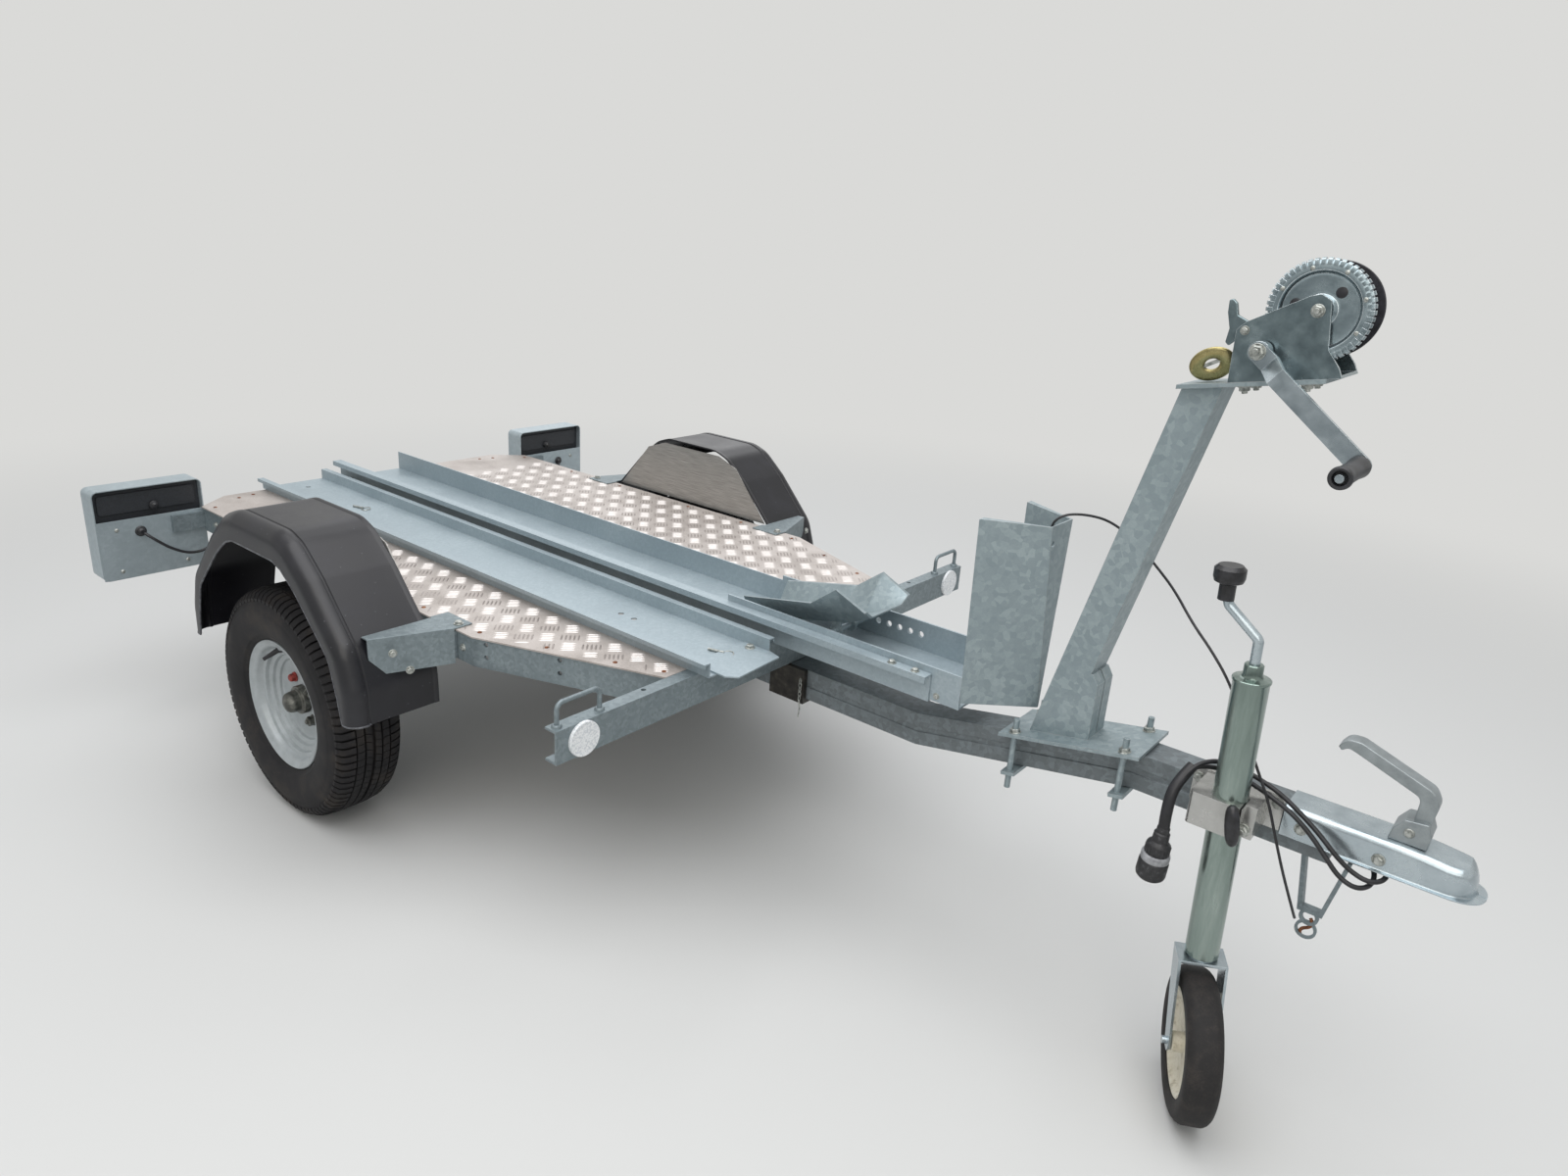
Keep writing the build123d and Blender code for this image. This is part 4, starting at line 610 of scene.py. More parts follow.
# Mudguards, moulded in black polypropylene: a rolled outer edge, a crease 35 mm in from
# it, a shallow step by the bed and a thin bead round the open mouth. Both hang from the
# bed frame on two folded brackets.
# The moulding: faded black with a fine orange-peel skin and chalky specks
guard_black, tree, shader, place = new_material("moulded_black_polypropylene")
fade = noise(place, 11.0, 5.0, 0.6)
specks = node(tree, "TexVoronoi", Vector=place, Scale=55.0)
plain_tone = colour_steps(fade, ((0.3, "131317"), (0.55, "1A1A1F"), (0.8, "25252B")))
chalk = ranged((specks, "Distance"), 0.05, 0.09, 1.0, 0.0)
dusty = node(tree, "MixRGB", Fac=chalk, Color1=plain_tone, Color2=linear("434348"))
connect(shader, Base_Color=(dusty, "Color"), Roughness=ranged(fade, 0.3, 0.7, 0.3, 0.42),
        Normal=dented(noise(place, 650.0, 2.0), 0.12, 0.0003))
# Its bead, painted grey as a highlight along the mouth
painted_highlight_bead = mottled("painted_highlight_polypropylene_bead", ((0.35, "3C3D41"), (0.6, "5C5E63"), (0.85, "7C7F84")),
                    (120.0, 3.0), Roughness=0.4)


def rounded_line(corners, radius, steps=7):
    """A line through the corners with each bend rounded, as a list of points in millimetres."""
    line = [Vector(corners[0])]
    for before, corner, after in zip(corners, corners[1:], corners[2:]):
        corner, before, after = Vector(corner), Vector(before), Vector(after)
        back, ahead_by = (before - corner), (after - corner)
        half_angle = back.angle(ahead_by) / 2
        reach = min(radius / math.tan(half_angle), 0.49 * back.length, 0.49 * ahead_by.length)
        first, last = corner + back.normalized() * reach, corner + ahead_by.normalized() * reach
        for share in range(steps + 1):
            t = share / steps
            line.append(first * (1 - t) ** 2 + corner * 2 * t * (1 - t) + last * t ** 2)
    line.append(Vector(corners[-1]))
    return line


def arched(half):
    """A rounded line over the wheel, from (distance from the guard's middle, height) of one half."""
    middle, corner_radius = 30, 85
    behind, before = [(middle - x, z) for x, z in half], [(middle + x, z) for x, z in reversed(half)]
    return rounded_line(behind + before, corner_radius, 9)


guard_line = arched([(318, 330), (316, 395), (292, 470), (191, 578), (129, 629), (87, 644)])
mouth_line = arched([(292, 300), (256, 448), (142, 557), (90, 588)])
stations = []
for first, second in zip(guard_line, guard_line[1:]):
    count = max(1, round((second - first).length / 12))
    stations += [first.lerp(second, share / count) for share in range(count)]
stations.append(guard_line[-1])
# Across the guard: (distance out from the trailer's middle, depth below the outer skin) in millimetres
edge_roll, flat_edge = 28, 650
across_guard = [(500, 0), (508, 0), (509.2, 0.9), (511, 1), (540, 1), (600, 1), (638.5, 1), (640.5, 3),
                (643.2, 3), (645, 0.6), (flat_edge, 0)]
for degrees in range(10, 91, 10):
    bend = math.radians(degrees)
    across_guard.append((flat_edge + edge_roll * math.sin(bend), edge_roll * (1 - math.cos(bend))))


def mouth_depth(start, inward):
    """How far the mouth's edge lies below the skin, along the inward line from a station."""
    found = 60.0
    for first, second in zip(mouth_line, mouth_line[1:]):
        run = second - first
        cross = inward.x * run.y - inward.y * run.x
        if abs(cross) < 1e-9:
            continue
        gap = first - start
        depth = (gap.x * run.y - gap.y * run.x) / cross
        share = (gap.x * inward.y - gap.y * inward.x) / cross
        if -0.02 <= share <= 1.02 and depth > 5:
            found = min(found, depth)
    return found


last_row = len(stations) - 1
ways_in = []
for row in range(last_row + 1):
    along = (stations[min(row + 1, last_row)] - stations[max(row - 1, 0)]).normalized()
    ways_in.append(Vector((along.y, -along.x)))
ways_in[0], ways_in[-1] = Vector((1, 0)), Vector((-1, 0))
limits = [mouth_depth(station, inward) for station, inward in zip(stations, ways_in)]
for repeat in range(6):
    middle = [(a + 2 * b + c) / 4 for a, b, c in zip(limits, limits[1:], limits[2:])]
    limits = [limits[0], *middle, limits[-1]]


def shell(rows, wall_mm):
    """A sheet through rows of points, turned with its outer side up and thickened inwards by its wall."""
    columns = len(rows[0])
    bpy.ops.object.select_all(action="DESELECT")
    bpy.ops.mesh.primitive_grid_add(x_subdivisions=columns - 1, y_subdivisions=len(rows) - 1, size=1)
    sheet = bpy.context.object
    bpy.ops.object.mode_set(mode="EDIT")
    skin = bmesh.from_edit_mesh(sheet.data)
    skin.verts.ensure_lookup_table()
    for row, points in enumerate(rows):
        for column, point in enumerate(points):
            skin.verts[row * columns + column].co = point
    bmesh.update_edit_mesh(sheet.data)
    bpy.ops.mesh.select_all(action="SELECT")
    bpy.ops.mesh.remove_doubles(threshold=0.00005)
    bpy.ops.mesh.normals_make_consistent(inside=False)
    bpy.ops.object.mode_set(mode="OBJECT")
    if sheet.data.polygons[len(sheet.data.polygons) // 2].normal.z < 0:
        sheet.data.flip_normals()
    wall = sheet.modifiers.new("sheet_wall", "SOLIDIFY")
    wall.thickness = wall_mm / 1000
    wall.offset = -1
    bpy.ops.object.modifier_apply(modifier="sheet_wall")


for side_name, side in sides:
    rows, mouth_edge, lower_edges = [], [], []
    for station, inward, limit in zip(stations, ways_in, limits):
        section = [(y, min(depth, limit)) for y, depth in across_guard]
        below_roll = max(limit - edge_roll, 0)
        for third in (1, 2, 3):
            section.append((flat_edge + edge_roll, min(limit, edge_roll) + below_roll * third / 3))
        points = [(station + inward * depth, y) for y, depth in section]
        rows.append([spot(flat.x, side * y, flat.y) for flat, y in points])
        mouth_edge.append(points[-1])
        lower_edges.append(points[7:-1])
    shell(rows, 3.5)
    settle(f"{side_name}_mudguard_moulding", guard_black, "chassis", smooth=42,
           stands_for=f"{side_name}_mudguard")

    # Bead round the mouth, a thin welt on the cut edge
    welt = lower_edges[0] + mouth_edge + lower_edges[-1][::-1]
    strand(f"{side_name}_mouth_bead", [(flat.x, side * (y - 1.2), flat.y) for flat, y in welt], 4.2,
           painted_highlight_bead, kind="POLY", caps=False, round_steps=2)


# Fasteners. Zinc-plated hexagon bolts and nuts with washers hold the brackets, the post,
# the rails and the winch; dark dome-headed rivets hold the deck.
def plated(name, dark, mid, light, scale, rough, metal, contrast=0.5, stretch=(1, 1, 1)):
    """Electroplated zinc: a thin bright coat, cloudy in patches, with fine grit from the steel below."""
    material, tree, shader, place = new_material(name)
    drawn_out = node(tree, "Mapping", Vector=place, Scale=stretch), "Vector"
    cloud = noise(drawn_out, scale, 5.0, 0.6)
    both = weighed(noise(drawn_out, scale * 14, 2.0), 0.16, cloud)
    middle = 0.58
    steps = ((middle - 0.3 * contrast, dark), (middle, mid), (middle + 0.4 * contrast, light))
    connect(shader, Base_Color=colour_steps(both, steps), Normal=dented(both, 0.1, 0.0003),
            Roughness=ranged(cloud, 0.3, 0.7, rough - 0.07, rough + 0.1), Metallic=metal)
    return material


# Bolts, nuts and wire in bright plate, and bare steel that has rusted through
fastener_zinc = plated("zinc_plated_fastener_steel", "7D807C", "A3A6A1", "C6C8C4", 160.0, 0.34, 0.7)
rusty_steel = plated("rusted_bare_steel", "4A2E20", "7A4A2E", "A0714C", 150.0, 0.8, 0.15)


masters = []


def master(name, material, slot_name, parts, smooth=25):
    """A small part turned at the origin along +Z from several profiles, kept aside for copying."""
    made = [turned(profile, (0, 0, 0), (0, 0, 1), steps) for profile, steps in parts]
    if len(made) > 1:
        joined(*made[:-1])
    piece = bpy.context.object
    piece.name = name
    bpy.ops.object.shade_smooth_by_angle(angle=math.radians(smooth))
    piece.data.materials.clear()
    piece.data.materials.append(material)
    piece["slot"] = slot_name
    masters.append(piece)
    return piece


washer_profile = ([(0, 1.6), (9.3, 1.6), (9.8, 1.2), (9.8, 0), (0, 0)], 24)
hex_bolt = master("hex_bolt_master", fastener_zinc, "zinc_plate", [
    washer_profile, ([(0, 6.6), (5.6, 6.6), (7.4, 5.6), (7.4, 1.6), (0, 1.6)], 6)])
stud_nut = master("stud_nut_master", fastener_zinc, "zinc_plate", [
    washer_profile, ([(0, 7.6), (6.6, 7.6), (8.4, 6.6), (8.4, 1.6), (0, 1.6)], 6),
    ([(0, 11.2), (3.6, 11.2), (4.2, 10.6), (4.2, 7), (0, 7)], 20)])
small_screw = master("dome_screw_master", fastener_zinc, "zinc_plate", [
    ([(0, 2.4), (2.4, 2.2), (4.2, 1.3), (4.9, 0), (0, 0)], 18)], 50)
deck_rivet = master("deck_rivet_master", rusty_steel, "galvanised_steel", [
    ([(0, 1.8), (2.2, 1.6), (3.8, 1), (4.6, 0), (0, 0)], 14)], 50)

rise_up, near, far, fore = (0, 0, 1), (0, -1, 0), (0, 1, 0), (1, 0, 0)


def fixed(name, kind, direction, size, *places, body="chassis"):
    """Copies of a small part at places in millimetres, numbered where there are several."""
    for count, (x, y, z) in enumerate(places):
        number = f"_{count + 1}" if len(places) > 1 else ""
        placed(kind, name + number, spot(x, y, z), direction, body, turn=(x * 0.37 + y * 0.11) % 1.0,
               scale=size)


fixed("post_stud_nut", stud_nut, (-0.19, 0, 1), 1.0,
      (1310, -50, 467.2), (1310, 50, 467.2), (1491, -50, 502.5), (1491, 50, 502.5))
fixed("rail_lip_bolt", hex_bolt, rise_up, 0.8, (1090, -98, 534.5), (1137, -98, 534.5))
fixed("channel_side_bolt", hex_bolt, near, 0.6, (1176, -85.5, 497))
fixed("stop_floor_bolt", deck_rivet, rise_up, 1.8, (1196, 0, 490.6))
fixed("ramp_tongue_bolt", hex_bolt, rise_up, 1.0, (816, -150, 489.5))
fixed("winch_base_nut", stud_nut, (0.18, 0, -1), 0.9,
      (1546, -26, 1067.6), (1546, 26, 1067.6), (1622, -26, 1081.6), (1622, 26, 1081.6))
fixed("gear_shaft_nut", stud_nut, near, 0.88, (1619, -45.2, 1173.5))
fixed("gear_shaft_head", hex_bolt, far, 0.95, (1619, 45.2, 1173.5))
fixed("pawl_pivot_nut", hex_bolt, near, 0.62, (1537, -45.2, 1140))
fixed("crank_hub_nut", stud_nut, near, 1.1, (1565.2, -72.2, 1117.8), body="crank")
fixed("clamp_lever_bolt", stud_nut, near, 1.0, (1687, -97.2, 476))
fixed("clamp_ear_bolt", hex_bolt, near, 0.85, (1601, -36.2, 500), (1712, -36.2, 502))
for number, x, y, z, outward in (
    (1, 1748, -35.3, 476, near), (2, 1848, -35.3, 474, near),
    (3, 1748, 35.3, 476, far), (4, 1848, 35.3, 474, far),
):
    fixed(f"coupling_bolt_{number}", hex_bolt, outward, 0.9, (x, y, z))
rivet_places = ((-690, 380), (-640, 460), (-420, 462), (-210, 462), (60, 462), (250, 462), (424, 458),
                (560, 412), (690, 366), (775, 330), (-700, 150), (-700, 340))
for side_name, side in sides:
    away = (0, side, 0)
    for end, way in (("front", 1), ("rear", -1)):
        outward = (way, side * 0.32, 0)
        for count, (x, y, z, direction, size) in enumerate((
            (331, 597, 462, outward, 0.8), (339, 570, 424, outward, 0.8), (340, 466, 486.7, rise_up, 0.95),
        )):
            place = (30 + way * x, side * y, z)
            fixed(f"{side_name}_{end}_bracket_bolt_{count + 1}", hex_bolt, direction, size, place)
    fixed(f"{side_name}_panel_screw", small_screw, away, 1.0,
          *((x, side * 502.2, z) for x, z in ((-120, 520), (30, 612), (180, 520))))
    fixed(f"{side_name}_lamp_box_screw", small_screw, fore, 1.0,
          *((-673.8, side * y, z) for y, z in ((523, 455), (668, 456), (523, 356), (668, 356))))
    fixed(f"{side_name}_frame_bolt", hex_bolt, away, 0.75,
          *((x, side * 478.2, 452) for x in (-600, -430, 400)))
    for count, (x, y) in enumerate(rivet_places):
        # The ramp covers the inner ones on the right
        if side > 0 or y > 310:
            fixed(f"{side_name}_deck_rivet_{count + 1}", deck_rivet, rise_up, 1.0, (x, side * y, 483.5))


# Winch. Pressed side plates in electroplated zinc, cut gear on the drum, black webbing
# wound on it, a flat crank with a ribbed black sleeve, and a yellow-passivated hook.
# The edges are painted brighter than the blue-grey faces, as a painted highlight; the faces vary in patches
winch_zinc = plated("blue_grey_zinc_plated_sheet", "5F6D72", "7D8C90", "A6B3B6", 30.0, 0.22, 0.85, 1.2)
gear_zinc = plated("mottled_zinc_plated_gear_disc", "66747A", "8E9CA1", "B8C4C8", 24.0, 0.24, 0.85, 1.3)
# Painted highlight: pale zinc for the bevel faces, standing for light caught along the winch's edges
painted_highlight_edge = plated("painted_highlight_zinc_edge", "B4BDC1", "CDD4D7", "E2E7E9", 60.0, 0.22, 0.6, 0.6)
refined("winch_frame", winch_zinc, "chassis", 1.3, edge_material=painted_highlight_edge)
crank_zinc = plated("bright_zinc_crank_bar", "929EA4", "A9B4B9", "C3CCD1", 30.0, 0.2, 0.85, 1.0)
refined("winch_crank", crank_zinc, "crank", 0.9, edge_material=painted_highlight_edge)
# The far flange's inner face is painted dark as painted shade, and so are discs in the gear's holes
painted_shade_flange = mottled("painted_shade_dark_flange", ((0.35, "1D1D21"), (0.7, "303036")), (80.0, 4.0),
                       Roughness=0.38)
gear_centre = spot(1619, 0, 1173.5)
turned([(6.3, 38.5), (16.5, 38.5), (18, 37.6), (20.5, 35.4), (24, 34.9), (42, 34.9), (45.4, 36.2),
        (47.6, 40), (49.4, 41.6), (55.4, 42), (59.6, 40), (61.8, 37.6), (61.8, 35.2), (60, 34.2),
        (20, 34.2), (20, -27), (61, -27), (61.8, -27.6), (61.8, -29.4), (61, -30), (12, -30),
        (12, -49.4), (6.3, -49.4), (6.3, 38.5)], gear_centre, near, 96)
drum_body = bpy.context.object
# One side of a tooth as (radius, along the shaft), drawn out to its width and repeated round the disc
gear_teeth = 50
tooth_half_w = 2.6
tooth = ((54.5, 35.4), (54.5, 42.2), (58.4, 42.8), (62.4, 41.6), (64.4, 38.4), (64.4, 35.4))
drawn_plate([gear_centre + Vector((-tooth_half_w, -along, radius)) / 1000 for radius, along in tooth],
            (tooth_half_w / 500, 0, 0), gear_teeth, gear_centre)
joined(drum_body)
winch_gear = settle("winch_drum_and_gear", gear_zinc, "drum", 0.35, 1, 30, painted_highlight_edge,
                    "winch_drum")
# Faces of the far flange take the painted shade
winch_gear.data.materials.append(painted_shade_flange)
for face in winch_gear.data.polygons:
    if face.center.y > 0.026 and (face.center - gear_centre).length > 0.040:
        face.material_index = 2


def on_gear(angle, radius, out):
    """A place on the disc from an angle in degrees and millimetres, out being towards the near side."""
    angle = math.radians(angle)
    return gear_centre + Vector((math.cos(angle) * radius, -out, math.sin(angle) * radius)) / 1000


# Dark discs in the gear's lightening holes: painted shade where the holes look into the drum
for count in range(3):
    turned([(0, 0.25), (6.4, 0.25), (7, 0), (0, 0)], on_gear(50 + 120 * count, 31, 34.9), near, 24)
    settle(f"gear_lightening_hole_{count + 1}", painted_shade_flange, "drum", smooth=40)
for count in range(8):
    turned([(0, 1.3), (1.6, 1.1), (2.8, 0.5), (3.2, 0), (0, 0)], on_gear(20 + 45 * count, 53, 41.8), near, 14)
    settle(f"gear_rim_dimple_{count + 1}", fastener_zinc, "drum", smooth=50)


def banded(name, steps, scale, waver, dents, **sockets):
    """A material with bands across the trailer in its colour and its height: woven yarns, or moulded ribs."""
    material, tree, shader, place = new_material(name)
    across = {"wave_type": "BANDS", "bands_direction": "Y"}
    bands = node(tree, "TexWave", across, Vector=place, Scale=scale, Distortion=waver), "Fac"
    connect(shader, Base_Color=colour_steps(bands, steps), Normal=dented(bands, *dents), **sockets)
    return material


# Weave shown at 4 mm, coarser than the real 0.6 mm yarns, so that it reads at this distance
wound_web = banded("wound_black_polyester_webbing", ((0.2, "19191B"), (0.8, "34343A")), 80.0, 1.5,
                   (0.5, 0.0006), Roughness=0.88)
# The strap's layers on the drum, each a little out of line with the next
drum_radius, layer_pitch, web_half_w = 20, 2, 24
layers = [(drum_radius, -web_half_w)]
for layer in range(14):
    radius, edge = drum_radius + layer_pitch * layer, -web_half_w - (layer % 2) * 0.6
    layers += [(radius + 0.3, edge), (radius + 1.7, edge)]
layers += [(48, -23.5), (48, 23.5)] + [(r, -y) for r, y in reversed(layers)] + [(drum_radius, -web_half_w)]
turned(layers, gear_centre, (0, 1, 0), 72)
settle("wound_winch_strap", wound_web, "drum", smooth=30, stands_for="winch_strap")

# Ribbed rubber sleeve that turns on the crank's pin, rubbed grey by hands
grip_black = mottled("worn_black_rubber_sleeve", ((0.35, "1E1F21"), (0.6, "2C2D31"), (0.85, "46484D")),
                     (60.0, 5.0), Roughness=0.45)
turned([(5.1, 95.2), (11.6, 95.2), (13.4, 96.6), (14, 100), (13.4, 110), (12.3, 122), (12.2, 168),
        (13.2, 182), (14, 190), (13.6, 193.6), (11.8, 195), (9.2, 194.6), (8.4, 192.4), (8.4, 184),
        (5.1, 184), (5.1, 95.2)], spot(1716, 0, 1001), near, 40)
settle("crank_sleeve", grip_black, "crank", smooth=45, stands_for="crank_grip")


def cut_plate(outline, y, thickness):
    """A plate cut to an outline of (x, z) millimetres, its near face at y, drawn out to its thickness."""
    return drawn_plate([spot(x, y, z) for x, z in outline], (0, thickness / 1000, 0))


# Pawl lever between the side plates, cut from 7 mm plate
cut_plate([(1508, 1176), (1513, 1178), (1519, 1173), (1523, 1158), (1537, 1152), (1546, 1144), (1552, 1128),
           (1544, 1124), (1530, 1130), (1518, 1118), (1513, 1122), (1515, 1140), (1509, 1160)], -40, 7)
settle("winch_pawl", winch_zinc, "chassis", 1.6, 3)

# Forged hook of the strap under yellow passivated zinc, with its sprung latch
hook_zinc = plated("yellow_passivated_hook_steel", "6F6544", "9A8F62", "C9BE8E", 40.0, 0.24, 0.85, 1.2)
bpy.ops.object.select_all(action="DESELECT")
bpy.ops.mesh.primitive_torus_add(major_radius=0.0178, minor_radius=0.0092, major_segments=48,
                                 minor_segments=18, location=(0, 0, 0))
hook = bpy.context.object
bpy.ops.object.mode_set(mode="EDIT")
bpy.ops.mesh.select_all(action="SELECT")
bpy.ops.transform.resize(value=(1.15, 0.9, 0.42))
bpy.ops.object.mode_set(mode="OBJECT")
tilt, stand = Matrix.Rotation(math.radians(-30), 4, "Y"), Matrix.Rotation(math.radians(90 + 26), 4, "X")
hook.data.transform(Matrix.Translation(spot(1494, -12, 1089)) @ tilt @ stand)
settle("strap_hook", hook_zinc, "chassis", smooth=60)
cut_plate([(1484, 1082), (1506, 1094), (1509, 1098), (1506, 1100), (1483, 1087)], -14, 3)
settle("strap_hook_latch", fastener_zinc, "chassis", 0.6)


# Coupling. Pressed steel head in satin zinc over the end of the drawbar, with a cast
# handle that opens its jaw, bolted through both sides.
satin_zinc = plated("satin_zinc_pressing", "98A4AA", "B0BBC0", "C6CFD3", 22.0, 0.24, 0.78, 1.0)
head_stations = (1722, 1724, 1750, 1780, 1796, 1812, 1840, 1868, 1896, 1915, 1926, 1934, 1941, 1947, 1952,
                 1956, 1959, 1961, 1962.5, 1965, 1968, 1970.5, 1972.5, 1974, 1974.9)
seam_z, top_z = 459.2, 503


def rounded_end(x, start, reach, power):
    """The share of full width left at x, past the start of an end that closes over a reach."""
    part = min(max((x - start) / reach, 0.0), 1.0)
    return (1 - part ** power) ** (1 / power)


rows = []
for x in head_stations:
    half_w = 35.0 * rounded_end(x, 1920, 42.6, 2.3)
    body_h = 44.0 * rounded_end(x, 1930, 32.6, 2.2)
    if x > 1870:
        body_h = min(body_h, 44.0 - 5.0 * min((x - 1870) / 60, 1) ** 1.5)
    flare = 6.0 * min(max((x - 1786) / 22, 0.02), 1)
    flange_w = max(half_w + 0.3, (35 + flare) * rounded_end(x, 1928, 47, 2.3))
    corner = min(11.0, 0.55 * half_w, 0.6 * body_h)
    section = [(flange_w, 457.4), (flange_w, 459), (max(flange_w - 1, half_w + 0.2), 459.4),
               (half_w + min(2, flare) * 0.6, 459.6), (half_w + 0.3, 460.6), (half_w, 462.5)]
    section = [(y, min(z, seam_z + body_h)) for y, z in section]
    section.append((half_w, seam_z + max(body_h * 0.5, min(3.4, body_h))))
    for step in range(7):
        bend = math.radians(15 * step)
        inset, drop = corner * (1 - math.cos(bend)), corner * (1 - math.sin(bend))
        section.append((half_w - inset, seam_z + body_h - drop))
    section.append((half_w * 0.35, seam_z + body_h + 0.35))
    section += [(0, seam_z + body_h + 0.45)] + [(-y, z) for y, z in reversed(section)]
    rows.append([spot(x, y, min(z, top_z)) for y, z in section])
shell(rows, 2.4)
settle("coupling_head_pressing", satin_zinc, "chassis", smooth=40, stands_for="coupling_head")
# The cup that takes the ball, welded under the nose
turned([(0, 33.2), (12, 31), (22, 25), (28, 16), (29.6, 8), (29.6, -2), (25.4, -2), (25.4, 7), (22, 15),
        (14, 23.5), (6, 28), (0, 29)], spot(1918, 0, 459), rise_up, 48)
settle("coupling_ball_cup", satin_zinc, "chassis", smooth=40)
# Handle, cast in zinc with a sandy skin: a curled arm on a foot
cast_zinc = plated("sand_cast_handle_zinc", "7E8487", "939A9C", "A8AEB1", 60.0, 0.42, 0.65, 1.0)
arm_outer = rounded_line([(1892, 531), (1896, 567), (1886, 584), (1790, 620.5), (1772, 620), (1763, 606)], 20)
arm_inner = rounded_line([(1768, 601), (1776, 607.5), (1790, 602.5), (1873, 570), (1872, 531)], 12)
cut_plate([(1849, 503.2), (1896, 503.2), (1898, 524), (1891, 540), (1863, 537), (1852, 520)], -21, 42)
handle_foot = bpy.context.object
cut_plate([tuple(point) for point in arm_outer + arm_inner], -13, 26)
# The arm's sides are cast hollow, so that a rim stands all round them
bpy.ops.object.mode_set(mode="EDIT")
bpy.ops.mesh.select_all(action="DESELECT")
shape = bmesh.from_edit_mesh(bpy.context.object.data)
for face in shape.faces:
    face.select = abs(face.normal.y) > 0.9
bmesh.update_edit_mesh(bpy.context.object.data)
bpy.ops.mesh.inset(thickness=0.0028, depth=-0.0065, use_individual=True)
bpy.ops.object.mode_set(mode="OBJECT")
joined(handle_foot)
settle("coupling_handle_casting", cast_zinc, "chassis", 1.8, 3, 45, stands_for="coupling_handle")
for count, side in enumerate((-1, 1)):
    turned([(0, 1.5), (5, 1.5), (6.5, 0.8), (7, 0), (0, 0)], spot(1872, side * 21.2, 520), (0, side, 0), 24)
    settle(f"handle_pivot_{count + 1}", fastener_zinc, "chassis", smooth=40)


# Jockey stand. A leaning zinc-plated tube held in a folded nickel-bright clamp, wound by
# a cranked rod with a black knob, on a fork with a solid-tyred wheel.
# The tube's green tint is a painted reflection of grass, and its noise is drawn out upright into streaks of
# painted highlight
green_reflection_tube_zinc = plated("zinc_tube_with_painted_green_reflection_streaks", "67756F", "87958F", "B4BFB9", 34.0, 0.2, 0.85, 1.0, (1, 1, 0.12))
lean = math.radians(2.5)
stand_up = Vector((-math.sin(lean), 0, math.cos(lean)))
stand_top = spot(1651, -85, 690)
turned([(7.1, -20), (7.1, 23), (8, 24), (11.5, 24), (12.8, 22.5), (13, 10), (14.5, 5.5), (18, 4.2),
        (24.6, 3.6), (25.6, 2.6), (25.8, 0.6), (25, -1.5), (24, -3), (24, -80), (24, -160), (24, -240),
        (24, -340), (24, -438.8), (23, -440), (20.6, -440), (20.1, -438), (20.1, -20), (7.1, -20)],
       stand_top, stand_up, 64)
settle("jockey_outer_tube", green_reflection_tube_zinc, "jockey_column", smooth=35, stands_for="jockey_tube")
crank_rod = refined("jockey_crank", satin_zinc, "jockey_column", 0.6, 2, 40)
# The knob at the rod's end is phenolic plastic
knob_black = mottled("black_phenolic_knob", ((0.35, "161618"), (0.7, "2B2B2F")), (90.0, 4.0), Roughness=0.33)
crank_rod.data.materials.append(knob_black)
for face in crank_rod.data.polygons:
    if face.center.z > 0.797 and face.center.x < 1.000:
        face.material_index = 1
refined("jockey_fork", crank_zinc, "jockey_leg", 0.7, 2, 40)

# Clamp with its lever, whose grip is of the knob's plastic
clamp_nickel = plated("bright_nickel_clamp_sheet", "999996", "B1B1AE", "C9C9C6", 22.0, 0.22, 0.8, 1.0)
refined("jockey_clamp", clamp_nickel, "chassis", 3.0, 3, 45)
turned([(0, 31), (4, 30), (7, 26.5), (9, 20), (10, 10), (10.2, 0), (10, -10), (9, -20), (7, -26.5), (4, -30),
        (0, -31)], spot(1677, -120, 488), (10, 0, -55), 28)
settle("clamp_lever_grip", knob_black, "chassis", smooth=60)
turned([(0, 14), (5, 14), (5, -12), (0, -12)], spot(1681, -108, 478), near, 24)
settle("clamp_lever_shank", fastener_zinc, "chassis", 0.8)

wheel_centre = Vector((1.076643, -0.115294, 0.113004))
wheel_way = Vector((0.890158, 0.45399, 0.038865))
# Solid rubber band with pits and a brown bloom
solid_rubber = mottled("worn_solid_rubber_tyre", ((0.45, "121112"), (0.66, "1B1919"), (0.9, "302B28")),
                       (34.0, 6.0, 0.7), grain=(380.0, 3.0, 0.35), dents=(0.4, 0.0006), Roughness=0.78)
half = [(80.1, 22), (84, 24.4), (96, 25), (102, 24.8), (105.5, 23.2), (109.5, 19.5), (111.8, 15.5),
        (112.4, 13), (112.5, 0)]
turned(half + [(r, -t) for r, t in reversed(half[:-1])] + [half[0]], wheel_centre, wheel_way, 96)
settle("jockey_solid_tyre", solid_rubber, "jockey_wheel", smooth=38, stands_for="jockey_tyre")
# Pressed disc in cream enamel, stained where water stands
cream_enamel = mottled("cream_stove_enamel", ((0.3, "8C7F66"), (0.46, "CFC8B4"), (0.7, "E2DDCE")),
                       (48.0, 6.0, 0.75), Roughness=0.35)
half = [(6.1, 29), (13.5, 29), (15, 27.5), (15, 11), (18, 8), (52, 7), (62, 8.5), (68, 11), (72, 17),
        (75, 19.5), (79, 20), (80, 19)]
turned(half + [(r, -t) for r, t in reversed(half)] + [half[0]], wheel_centre, wheel_way, 72)
settle("jockey_wheel_disc", cream_enamel, "jockey_wheel", smooth=40, stands_for="jockey_rim")


# Plug of the trailer's lead: black cap, grey lock ring and a scuffed dark body, with a
# thick boot over both strands above it.
plug_black = mottled("scuffed_plug_polyamide", ((0.4, "1D1D1F"), (0.58, "2E2E30"), (0.75, "66666A")),
                     (130.0, 5.0, 0.7), Roughness=0.5)
